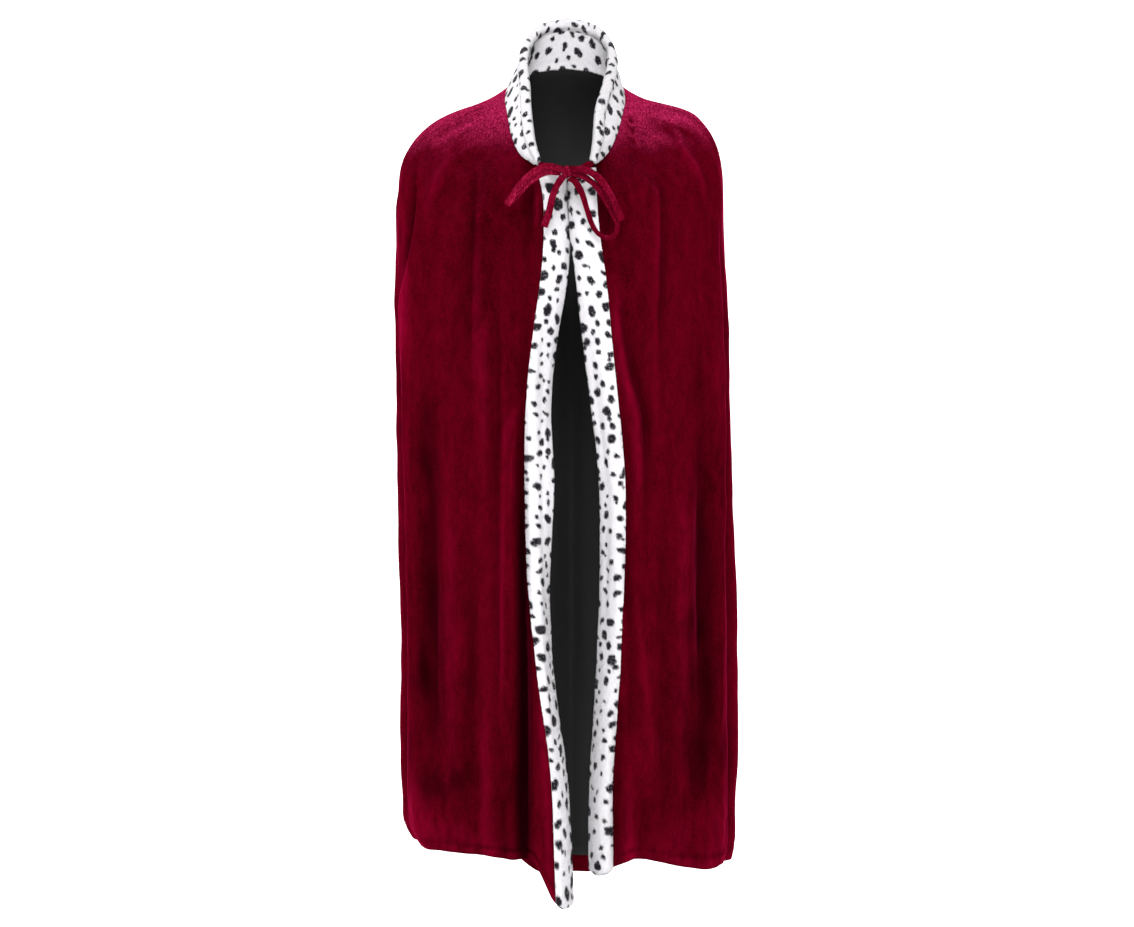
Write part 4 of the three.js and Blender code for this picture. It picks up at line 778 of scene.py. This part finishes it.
# ------------------------------------------------------------------------------------------ spotted fur
def spot_field(u, v, width, length, seed, gap=6.6, larger=0.0):
    """How far each point, in mm on the flat cloth, is inside one of the scattered dark spots, from 0 to 1.
    Near the start the spots are larger by the share given."""
    r = np.random.default_rng(seed)
    spots = []
    for _ in range(int(width * length / 18)):
        c = np.array([r.uniform(-3, width + 3), r.uniform(-3, length + 3)])
        grow = 1 + larger * (1 - float(smooth((c[1] - 120) / 260)))
        size = grow * r.choice([r.uniform(2.8, 3.9), r.uniform(3.9, 5.8), r.uniform(5.8, 8.0)], p=[0.22, 0.42, 0.36])
        if all(np.hypot(*(c - s[0])) > s[1] + size + gap for s in spots):
            spots.append((c, size))
    out = np.zeros(u.shape)
    wob = lambda a, k: sum(w * np.cos(m * a + f) for m, w, f in k)
    for c, size in spots:
        turn = r.normal(math.pi / 2, 0.6)
        ratio = r.uniform(0.58, 0.95)
        near = (np.abs(u - c[0]) < 3.2 * size) & (np.abs(v - c[1]) < 3.2 * size)
        waves = [(m, r.uniform(0.02, 0.13) / (m - 1) ** 0.5, r.uniform(0, 6.3)) for m in (2, 3, 4, 5)]
        joined = r.uniform() < 0.14
        shift = r.uniform(0.9, 1.25) * size
        if not near.any():
            continue
        du, dv = u[near] - c[0], v[near] - c[1]
        a = du * math.cos(turn) + dv * math.sin(turn)
        b = -du * math.sin(turn) + dv * math.cos(turn)
        angle = np.arctan2(b, a)
        reach = np.hypot(a / 1.18, b / (1.18 * ratio)) / (size * (1 + wob(angle, waves)))
        if joined:
            second = np.hypot((a - shift * 1.5) / 1.0, (b - 0.35 * shift) / 0.85) / (size * 0.62)
            reach = np.minimum(reach, second)
        out[near] = np.maximum(out[near], np.clip((1.08 - reach) / 0.14, 0, 1))
    return out


def pile(name, p, uv, count, length, sink, comb, seed, spots, keep=None, width=0.42, lay=0.75, shades=None):
    """Thin upright hairs over a grid of points, their roots under it. comb is the direction that the pile leans,
    lay how far it leans, and uv the place of each point on the flat cloth in mm."""
    r = np.random.default_rng(seed)
    rows, cols = p.shape[:2]
    n = grid_normals(p)
    a = p[:-1, :-1] - p[1:, 1:]
    b = p[:-1, 1:] - p[1:, :-1]
    area = np.linalg.norm(np.cross(a, b), axis=-1)
    if keep is not None:
        area = area * keep
    share = np.cumsum(area.ravel()) / area.sum()
    cell = np.searchsorted(share, (np.arange(count) + r.uniform(0, 1, count)) / count)
    cell = np.minimum(cell, area.size - 1)
    i, j = np.divmod(cell, cols - 1)
    s, t = r.uniform(0, 1, (2, count, 1))

    def pick(g):
        return (1 - s) * ((1 - t) * g[i, j] + t * g[i, j + 1]) + s * ((1 - t) * g[i + 1, j] + t * g[i + 1, j + 1])

    root, normal, place = pick(p), unit(pick(n)), pick(uv)
    lean = comb if callable(comb) else (lambda q: np.broadcast_to(np.asarray(comb, float), q.shape))
    lean = lean(root)
    lean = lean - normal * (lean * normal).sum(-1, keepdims=True)
    clump = np.stack([np.sin(root @ k + f) for k, f in ((r.normal(0, 0.55, 3), 1.0), (r.normal(0, 0.55, 3), 2.1), (r.normal(0, 0.55, 3), 4.0))], -1)
    tilt = unit(lean) * lay + clump * 0.24 + r.normal(0, 0.26, (count, 3))
    tip_dir = unit(normal + tilt)
    size = length * r.uniform(0.72, 1.08, (count, 1)) * (1 + 0.1 * clump[:, :1])
    across = unit(np.cross(tip_dir, normal) + 1e-6)
    spin = r.normal(0, 0.5, (count, 1))
    across = unit(across * np.cos(spin) + np.cross(tip_dir, across) * np.sin(spin))
    base = root - normal * sink
    half = width * 0.5 * r.uniform(0.8, 1.25, (count, 1))
    tip = base + tip_dir * size
    middle = base + tip_dir * size * 0.55 + normal * size * 0.04
    verts = np.stack([base - across * half, base + across * half, tip], 1)
    face_n = np.cross(verts[:, 1] - verts[:, 0], verts[:, 2] - verts[:, 0])
    wrong = (face_n * normal).sum(-1) < 0
    verts[wrong] = verts[wrong][:, [1, 0, 2]]
    strayed = place + r.normal(0, 0.38, place.shape)
    mask = spots(strayed[:, 0], strayed[:, 1])
    mask = (mask > r.uniform(0.3, 0.7, count)).astype(float) * (r.uniform(0, 1, count) > 0.03)
    tone = np.clip(r.normal(0.5, 0.26, count) + 0.16 * clump[:, 1], 0, 1)
    shade = np.ones(count) if shades is None else pick(shades[..., None])[:, 0]
    low, high = uv.reshape(-1, 2).min(0), uv.reshape(-1, 2).max(0)
    flat = 0.01 + 0.98 * (place - low) / (high - low)
    e = 0.35 / 1024
    uvs = flat[:, None, :] + np.array([(-e, -e), (e, -e), (0, e)])[None]
    faces = np.arange(count * 3).reshape(-1, 3)
    ob = make(name, verts.reshape(-1, 3), faces, PILE_MAT, uvs.reshape(-1, 2), None, {"spot": np.repeat(mask, 3), "tone": np.repeat(tone, 3), "shade": np.repeat(shade, 3)})
    soft = unit(normal + 0.35 * r.normal(0, 0.5, (count, 3)) + 0.25 * tip_dir)
    ob.data.normals_split_custom_set_from_vertices(np.repeat(soft, 3, 0).tolist())
    return ob


def tube(name, p, material, uv, spots, seed):
    """A closed tube over a grid whose columns run round it, with flat ends."""
    rows, cols = p.shape[:2]
    r, c = np.meshgrid(np.arange(rows - 1), np.arange(cols), indexing="ij")
    a, b = (r * cols + c).ravel(), (r * cols + (c + 1) % cols).ravel()
    side = np.stack([a, a + cols, b + cols, b], 1)
    middle = rows * cols
    verts = np.vstack([p.reshape(-1, 3), p[0].mean(0), p[-1].mean(0)])
    k = np.arange(cols)
    cap0 = np.stack([np.full(cols, middle), k, (k + 1) % cols], 1)
    cap1 = np.stack([np.full(cols, middle + 1), (rows - 1) * cols + (k + 1) % cols, (rows - 1) * cols + k], 1)
    flat = uv.reshape(-1, 2)
    mask = np.concatenate([spots(flat[:, 0], flat[:, 1]), [0, 0]])
    tone = np.concatenate([np.clip(np.random.default_rng(seed).normal(0.4, 0.2, len(flat)), 0, 1), [0.5, 0.5]])
    low, high = flat.min(0), flat.max(0)
    uvs = 0.01 + 0.98 * (flat - low) / (high - low)
    uvs = np.vstack([uvs, uvs[0], uvs[-1]])
    return make(name, verts, [side, cap0, cap1], material, uvs, 60, {"spot": mask, "tone": tone})


within = inside + LINING + SEAM_GAP
TRIM_IN = TRIM_OUT * 2 / 3
COUNT = 1.0


def fur_band(side, seed):
    """The band folded over one front edge: rows down the edge, columns round its section."""
    last = 1 + TRIM_BELOW / 1180
    shares = np.concatenate([np.linspace(0.006, last - 14 / 1180, 294), np.linspace(last - 12 / 1180, last, 9)])
    widths = np.linspace(TRIM_OUT, 0, 24)
    cols = side * (1 - widths / TRIM_OUT * STRIP)
    order = np.argsort(cols)
    back = np.argsort(order)
    p, n = at(cols[order], shares)
    p, n = p[:, back], n[:, back]
    edge, en = p[:, -1], n[:, -1]
    e = edge - p[:, -3]
    e = unit(e - en * (e * en).sum(-1, keepdims=True))
    rows = len(shares)
    end = 1 - 0.55 * smooth((shares - 1) * 1180 / TRIM_BELOW * 1.0)[:, None]
    plush = 1 + 0.10 * cloth_noise((rows, 1), (4, 1), (14, 1), seed)
    body = FUR - 2.0  # the pile stands on this
    taper = lambda w, far: 0.35 + 0.65 * smooth((far - w) / 7)
    out_t = (SEAM_GAP + body * taper(widths, TRIM_OUT)[None] * plush * end)[..., None]
    outer = p + n * out_t
    # round the edge
    top, low = SEAM_GAP + body, within + body - 0.6
    mid, rad = (top - low) / 2, (top + low) / 2
    turns = np.linspace(90, -90, 9)[1:-1] * math.pi / 180
    full = (1 + 0.75 * (1 - smooth((shares - 0.10) / 0.05)))[:, None]
    wrap = np.stack([edge + en * (mid + rad * math.sin(a) * end) + e * ((SEAM_GAP + body) * math.cos(a) * plush * end * full) for a in turns], 1)
    inner_w = np.linspace(0, TRIM_IN, 16)
    ic = side * (1 - inner_w / TRIM_OUT * STRIP)
    order = np.argsort(ic)
    ip, inn = at(ic[order], shares)
    ip, inn = ip[:, np.argsort(order)], inn[:, np.argsort(order)]
    inner = ip - inn * (within + (body - 0.6) * taper(inner_w, TRIM_IN)[None] * end)[..., None]
    face = np.concatenate([outer, wrap, inner], 1)
    u = np.concatenate([TRIM_OUT - widths, TRIM_OUT + np.linspace(1, 7, 7), TRIM_OUT + 8 + inner_w])
    pick = [15, 10, 5, 0]
    lower = ip[:, pick] - inn[:, pick] * within
    upper = p[:, [23, 16, 8, 0]] + n[:, [23, 16, 8, 0]] * SEAM_GAP
    round_back = np.stack([edge - en * within * 0.8 + e * SEAM_GAP, edge + e * SEAM_GAP + en * SEAM_GAP * 0.5], 1)
    section = np.concatenate([face, lower, round_back, upper], 1)
    # the corners of the lower end are rounded
    q = np.clip((shares - last + 13 / 1180) * 1180 / 13, 0, 1)[:, None, None]
    for grid in (face, section):
        middle = section.mean(1, keepdims=True)
        grid += (middle - grid) * (1 - np.sqrt(1 - 0.88 * q**2)) * np.array([1.0, 1.0, 0.25])
    v = shares * 1180
    uv_face = np.stack(np.meshgrid(v, u, indexing="ij")[::-1], -1)
    rest = section.shape[1] - face.shape[1]
    uv_rest = np.stack(np.meshgrid(v, np.linspace(u[-1] + 2, u[-1] + 10, rest), indexing="ij")[::-1], -1)
    if side > 0:
        section = section[:, ::-1]
        uv_all = np.concatenate([uv_face, uv_rest], 1)[:, ::-1]
    else:
        uv_all = np.concatenate([uv_face, uv_rest], 1)
    return section, uv_all, face, uv_face, u


def band_piece(name, side, seed):
    section, uv_all, face, uv_face, u = fur_band(side, seed)
    total = u[-1]
    spots = lambda a, b: np.where(a > total + 1, 0, spot_field(a, b, total, 1195, seed, larger=0.34))
    ob = tube("fur_" + name, section, FUR_MAT, uv_all, spots, seed)
    if side > 0:
        face, uv_face = face[:, ::-1], uv_face[:, ::-1]
    down = lambda q: np.broadcast_to(np.array([0.0, 0.0, -1.0]), q.shape)
    along = uv_face[..., 1] / 1180
    shades = 1.12 + 0.08 * smooth((along - 0.55) / 0.25) if side < 0 else 1.08 - 0.17 * smooth((along - 0.45) / 0.4)
    hairs = pile("fur_" + name + "_pile", face, uv_face, int(181000 * COUNT), 4.6, 1.2, down, seed + 1, spots, width=0.42 / COUNT**0.5, shades=shades)
    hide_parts(name)
    return ob, hairs, face, total


band_r = band_piece("trim_right", -1, 41)
band_l = band_piece("trim_left", 1, 52)

# ------------------------------------------------------------------------------------------ collar
NECK = {s: half_neckline(s) for s in (-1, 1)}
RIM_LINE = {s: through(RIM[s], 90) for s in (-1, 1)}
S = np.linspace(-1, 1, 241)


def collar_frames(s):
    base, rim = np.zeros((len(s), 3)), np.zeros((len(s), 3))
    for side in (-1, 1):
        here = (s < 0) if side < 0 else (s >= 0)
        t = 1 - np.abs(s[here])
        n_len, r_len = lengths(NECK[side])[-1], lengths(RIM_LINE[side])[-1]
        base[here] = on_line(NECK[side], COLLAR_START + (n_len - COLLAR_START) * t)
        rim[here] = on_line(RIM_LINE[side], r_len * t)
    return relaxed(base, 6, 0), relaxed(rim, 6, 0)


BASE, RIM_P = collar_frames(S)
ALONG = unit(np.gradient(BASE + RIM_P, axis=0))
UP = RIM_P - BASE
HIGH = np.linalg.norm(UP, axis=1)
UP = unit(UP)
OUT = unit(np.cross(ALONG, UP))
flip = (OUT * (BASE + np.array([0, 10, 0])) * np.array([1, 1, 0])).sum(-1) < 0
OUT[flip] *= -1
G = SEAM_GAP / 2 + 0.05


def collar_grid(profile):
    """profile(k) gives the (out, up) columns for section k."""
    return np.stack([np.stack([BASE[k] + OUT[k] * m + UP[k] * w for m, w in profile(k)]) for k in range(len(S))])


wave_a = cloth_noise((len(S), 1), (2.2, 1), (16, 1), 21)[:, 0]
wave_b = cloth_noise((len(S), 1), (2.2, 1), (9, 1), 22)[:, 0]
body = FUR - 2.0


def collar_outer_profile(k):
    H = HIGH[k] + 5 - 1.6
    b = min(RIM_BAND, HIGH[k] * 0.45)
    r = (RIM_HALF * (1 - 0.26 * smooth((abs(S[k]) - 0.84) / 0.16)) - 1.8) * (1 + 0.07 * wave_b[k])
    foot = 1.2
    out = [(G + body * (0.7 + 0.5 * math.sin(math.pi * min(1, f * 1.25)) ** 0.7) + 0.5 * wave_a[k] * math.sin(math.pi * f), foot + (H - b - foot) * f) for f in np.linspace(0, 1, 18)]
    out[-1] = (out[-1][0], H - b)
    ease = out[-1][0]
    for f in np.linspace(0, 1, 6)[1:]:
        out.append((ease + (r - ease) * smooth(f), H - b + (0.42 * b) * f))
    for a in np.linspace(0, 200, 15)[1:]:
        t = math.radians(a)
        out.append((r * math.cos(t), H - 0.58 * b + 0.58 * b * math.sin(t) if a <= 90 else H - 0.5 * b + 0.5 * b * math.sin(t)))
    last = out[-1]
    for f in np.linspace(0, 1, 6)[1:]:
        out.append((last[0] + (-(G + body) - last[0]) * f, last[1] + (H - b - last[1]) * f))
    return out


def facing_profile(k):
    H = HIGH[k] + 5 - 1.6
    b = min(RIM_BAND, HIGH[k] * 0.45) + 0.4
    foot = 1.2 - 4.5 * smooth((1 - abs(S[k])) / 0.3)
    return [(-(G + (body - 0.5) * (0.75 + 0.35 * math.sin(math.pi * f) ** 0.7)) - 0.4 * wave_a[k] * math.sin(math.pi * f) - 2.2 * smooth((f - 0.8) / 0.2), H - b - (H - b - foot) * f) for f in np.linspace(0, 1, 22)]


def with_back(face, k_out):
    """Closes a collar's face round its hidden side, which lies k_out from the middle surface."""
    ends = [((face[:, i] - BASE) * UP).sum(-1) for i in (-1, 0)]
    back = [BASE + OUT * k_out + UP * (ends[0] * (1 - f) + ends[1] * f)[:, None] for f in np.linspace(0.04, 0.96, 5)]
    return np.concatenate([face, np.stack(back, 1)], 1)


def collar_uv(face):
    down = np.concatenate([np.zeros((face.shape[0], 1)), np.cumsum(np.linalg.norm(np.diff(face, axis=1), axis=2), 1)], 1)
    along = lengths(face[:, face.shape[1] // 2])
    return np.stack([np.broadcast_to(along[:, None], down.shape), down], -1)


def collar_piece(name, profile, k_out, count, seed, comb):
    face = collar_grid(profile)
    level = np.linspace(0, 1, face.shape[1])[None]
    if name == "collar":
        shades = (0.97 - 0.09 * smooth((S[:, None] + 0.2) / 0.6)) * (1 - 0.14 * smooth((level - 0.38) / 0.14))
    else:
        shades = 0.86 - 0.04 * level + 0 * S[:, None]
    uv = collar_uv(face)
    full = with_back(face, k_out)
    extra = full.shape[1] - face.shape[1]
    far = uv[:, -1:, :] + np.array([0, 1.0]) * np.arange(1, extra + 1)[None, :, None]
    uv_full = np.concatenate([uv, far], 1)
    span, tall = uv[..., 0].max(), uv[..., 1].max()
    spots = lambda a, b: spot_field(a, b, span, tall, seed, larger=0.12 if name == "collar" else 0.3)
    ob = tube("fur_" + name, full[:, ::-1], FUR_MAT, uv_full[:, ::-1], spots, seed)
    hairs = pile("fur_" + name + "_pile", face[:, ::-1], uv[:, ::-1], int(count * COUNT), 3.7, 1.1, comb, seed + 1, spots, width=0.42 / COUNT**0.5, lay=0.95, shades=shades[:, ::-1])
    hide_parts(name)
    return ob, hairs, face


down = (0.0, 0.0, -1.0)
collar = collar_piece("collar", collar_outer_profile, G, 150000, 63, down)
facing = collar_piece("collar_facing", facing_profile, -0.6 * G, 66000, 74, down)

# ------------------------------------------------------------------------------------------ ties
TIE_W, TIE_T = 11.0, 3.2
TIES = {
    "tie_right": [(-42, -107, -126.2, 92, -30), (-33, -112.5, -127.2, 94, -15), (-22, -115.5, -132.5, 98, 0), (-5.6, -119.5, -134.5, 104, 0)],
    "tie_left": [(44, -107, -124.7, 88, -30), (37, -112.5, -125.7, 86, -15), (27, -115.5, -132.5, 82, 0), (10.6, -119.5, -134.5, 76, 0)],
    "bow_end_right": [(-3.3, -126.8, -145.9, -8, 10), (-12.5, -132, -161, -18, 10), (-20, -135, -180, -14, 5), (-25, -137.5, -203, -14, 0), (-33, -138.5, -228, -18, 0)],
    "bow_end_left": [(10.4, -128.6, -135.4, 80, 0), (30, -141, -137, 70, -10), (52, -151, -150, 52, -10), (70, -155, -175, 32, -6), (82, -155.5, -200, 26, 0), (90, -154.5, -219, 24, 0)],
    "bow_loop_right": [(-5, -128.4, -134.9, 96, 0), (-28, -137, -131, 100, 5), (-50, -140, -141, 122, 5), (-70, -140.5, -160, 136, 0), (-84, -140.4, -180, 145, 0), (-91, -139.6, -190.5, 147, 4), (-92, -136, -192.6, 146, 10), (-89, -132.8, -189.5, 144, 6), (-80, -132.6, -180, 142, 0), (-66.5, -133.6, -165, 136, 0), (-48, -132.6, -149, 122, 0), (-28, -129, -139.5, 100, 0), (-6.6, -124.6, -138.9, 96, 0)],
    "bow_loop_left": [(11.9, -125.8, -139.9, 64, 6), (30, -133, -147, 52, 20), (48, -141, -162, 38, 30), (64, -145, -185, 26, 38), (77, -146, -210, 22, 44), (84, -146, -228, 12, 50), (79, -145.5, -241, -36, 56), (68, -144.5, -246, -84, 60), (54, -144, -240, -128, 58), (43, -143, -224, -160, 52), (35, -141, -200, -170, 46), (27, -135, -174, -166, 30), (16, -126.4, -154, -160, 8), (7.9, -122.5, -147.7, -156, -8)],
}


# Painted highlight for each ribbon piece: how much paler its velvet is painted.
PAINTED_SHINE = {"bow_loop_right": 0.30, "bow_end_right": 0.15, "bow_end_left": 0.13, "bow_loop_left": 0.10, "tie_right": 0.05, "tie_left": 0.04}


def ribbon(name, rows, seed):
    rows = np.array(rows, float)
    turn, lean = np.radians(rows[:, 3]), np.radians(rows[:, 4])
    count = 40 if len(rows) < 7 else 90
    line = through(rows[:, :3], count)
    across = through(np.stack([np.cos(turn) * np.cos(lean), np.sin(lean), np.sin(turn) * np.cos(lean)], 1), count)
    ahead = unit(np.gradient(line, axis=0))
    w = unit(across - ahead * (across * ahead).sum(-1, keepdims=True))
    n = unit(np.cross(ahead, w))
    r = np.random.default_rng(seed)
    wob = cloth_noise((count + 1, 1), (2.5, 1), (9, 1), seed)[:, 0]
    wide = TIE_W / 2 * (1 + 0.035 * wob)
    flat = TIE_T / 2 * (1 + 0.06 * wob[::-1])
    angles = np.linspace(0, 2 * math.pi, 24, endpoint=False)
    section = []
    for a in angles:
        c, s = math.cos(a), math.sin(a)
        x = math.copysign(abs(c) ** 0.75, c)
        y = math.copysign(abs(s) ** 0.8, s)
        y *= 1 - 0.18 * math.exp(-((x / 0.22) ** 2))  # pressed along the middle
        section.append(line + w * (wide * x)[:, None] + n * (flat * y)[:, None])
    p = np.stack(section, 1)
    rows_, cols = p.shape[:2]
    rr, cc = np.meshgrid(np.arange(rows_ - 1), np.arange(cols), indexing="ij")
    a, b = (rr * cols + cc).ravel(), (rr * cols + (cc + 1) % cols).ravel()
    middle = rows_ * cols
    verts = np.vstack([p.reshape(-1, 3), line[0], line[-1]])
    k = np.arange(cols)
    faces = [
        np.stack([a, b, b + cols, a + cols], 1),
        np.stack([np.full(cols, middle), (k + 1) % cols, k], 1),
        np.stack([np.full(cols, middle + 1), (rows_ - 1) * cols + k, (rows_ - 1) * cols + (k + 1) % cols], 1),
    ]
    # painted highlight: the side facing up is painted paler, by a painted strength for each piece
    up = np.clip(grid_normals(p)[..., 2] * 0.5 + 0.75, 0.3, 1.25)
    painted_shine = PAINTED_SHINE[name] * up * (1 + 0.35 * cloth_noise((rows_, cols), (2, 2), (7, 5), seed + 9))
    ob = make("velvet_" + name, verts, faces, TIE_MAT, None, 60, {"painted_shine": np.concatenate([painted_shine.ravel(), [0, 0]])})
    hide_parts(name)
    return ob, line


ribbons = {name: ribbon(name, rows, 80 + i) for i, (name, rows) in enumerate(TIES.items())}


def knot():
    c, size = np.array([2.5, -123.5, -138.5]), np.array([9.3, 9.3, 10.4])
    th, ph = np.meshgrid(np.linspace(0, math.pi, 33), np.linspace(0, 2 * math.pi, 48, endpoint=False), indexing="ij")
    d = np.stack([np.sin(th) * np.cos(ph), -np.sin(th) * np.sin(ph), np.cos(th)], -1)
    groove = 0.5 + 0.5 * np.cos(6.5 * (d[..., 0] * 0.9 + 0.35 * d[..., 2]) + 0.6)
    r = 1 - 0.1 * groove**3 + 0.03 * np.sin(5 * d[..., 2] + 3 * d[..., 0])
    p = c + d * size * r[..., None]
    rows, cols = p.shape[:2]
    rr, cc = np.meshgrid(np.arange(rows - 1), np.arange(cols), indexing="ij")
    a, b = (rr * cols + cc).ravel(), (rr * cols + (cc + 1) % cols).ravel()
    # painted highlight on the top of the knot and painted shade in its grooves
    painted_shine = 0.26 * np.clip(1.1 - groove**2 + 0.3 * d[..., 2], 0, 1.2)
    ob = make("velvet_bow_knot", p.reshape(-1, 3), np.stack([a, a + cols, b + cols, b], 1), TIE_MAT, None, 70, {"painted_shine": painted_shine.ravel()})
    import bmesh

    bm = bmesh.new()
    bm.from_mesh(ob.data)
    bmesh.ops.remove_doubles(bm, verts=bm.verts, dist=1e-6)
    bmesh.ops.recalc_face_normals(bm, faces=bm.faces)
    bm.to_mesh(ob.data)
    bm.free()
    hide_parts("bow_knot")
    return ob


knot_piece = knot()


for ob, hairs, face in (collar, facing):
    tall = face.shape[1]


# ------------------------------------------------------------------------------------------ floor and light
def stage():
    m = Nodes("studio")
    m.bsdf.inputs["Base Color"].default_value = (0.93, 0.93, 0.93, 1)
    m.bsdf.inputs["Roughness"].default_value = 0.9
    m.bsdf.inputs["Specular IOR Level"].default_value = 0.1
    m.bsdf.inputs["Emission Color"].default_value = (1, 1, 1, 1)
    m.bsdf.inputs["Emission Strength"].default_value = 0.6
    # The backdrop is clear from its far side, so that it doesn't stand in front of the mantle's back.
    tree = m.mat.node_tree
    out = next(node for node in tree.nodes if node.type == "OUTPUT_MATERIAL")
    side = tree.nodes.new("ShaderNodeNewGeometry")
    clear = tree.nodes.new("ShaderNodeBsdfTransparent")
    both = tree.nodes.new("ShaderNodeMixShader")
    tree.links.new(side.outputs["Backfacing"], both.inputs[0])
    tree.links.new(m.bsdf.outputs[0], both.inputs[1])
    tree.links.new(clear.outputs[0], both.inputs[2])
    tree.links.new(both.outputs[0], out.inputs["Surface"])
    floor_z, back_y, r = -1.48, 3.2, 1.6
    rows = [(-9.0, floor_z), (-4.0, floor_z), (0.0, floor_z), (back_y - r, floor_z)]
    rows += [(back_y - r + r * math.sin(a), floor_z + r - r * math.cos(a)) for a in np.linspace(0, math.pi / 2, 17)[1:]]
    rows += [(back_y, 3.0), (back_y, 6.0)]
    xs = np.linspace(-9, 9, 7)
    verts = [(x, y, z) for y, z in rows for x in xs]
    n = len(xs)
    faces = [(i * n + j, i * n + j + 1, (i + 1) * n + j + 1, (i + 1) * n + j) for i in range(len(rows) - 1) for j in range(n - 1)]
    me = bpy.data.meshes.new("studio_floor")
    me.from_pydata(verts, [], faces)
    me.polygons.foreach_set("use_smooth", np.ones(len(faces), bool))
    me.materials.append(m.mat)
    ob = bpy.data.objects.new("studio_floor", me)
    bpy.context.scene.collection.objects.link(ob)


def area_light(name, place, aim, size, power, color=(1, 1, 1)):
    data = bpy.data.lights.new(name, "AREA")
    data.shape = "RECTANGLE"
    data.size, data.size_y = size
    data.energy = power
    data.color = color
    ob = bpy.data.objects.new(name, data)
    ob.location = place
    v = np.array(aim) - np.array(place)
    from mathutils import Vector

    ob.rotation_euler = Vector(v).to_track_quat("-Z", "Y").to_euler()
    bpy.context.scene.collection.objects.link(ob)


stage()
area_light("key", (-0.45, -3.4, 2.2), (0, 0, -0.45), (1.8, 1.8), 118)
area_light("fill", (1.5, -3.7, 0.2), (0, 0, -0.62), (2.4, 2.4), 58)
area_light("top", (0.0, -0.7, 2.4), (0, 0, 0), (1.8, 1.2), 34)
area_light("rim_left", (-2.4, 0.4, 0.2), (0, 0, -0.5), (1.0, 2.6), 60)
area_light("rim_right", (2.4, 0.7, 0.2), (0, 0, -0.5), (1.0, 2.6), 40)

world = bpy.data.worlds.new("studio")
world.use_nodes = True
world.node_tree.nodes["Background"].inputs["Color"].default_value = (1, 1, 1, 1)
world.node_tree.nodes["Background"].inputs["Strength"].default_value = 0.30
bpy.context.scene.world = world
bpy.context.scene.view_settings.view_transform = "Standard"
bpy.context.scene.view_settings.look = "None"
bpy.context.scene.view_settings.exposure = 0.0
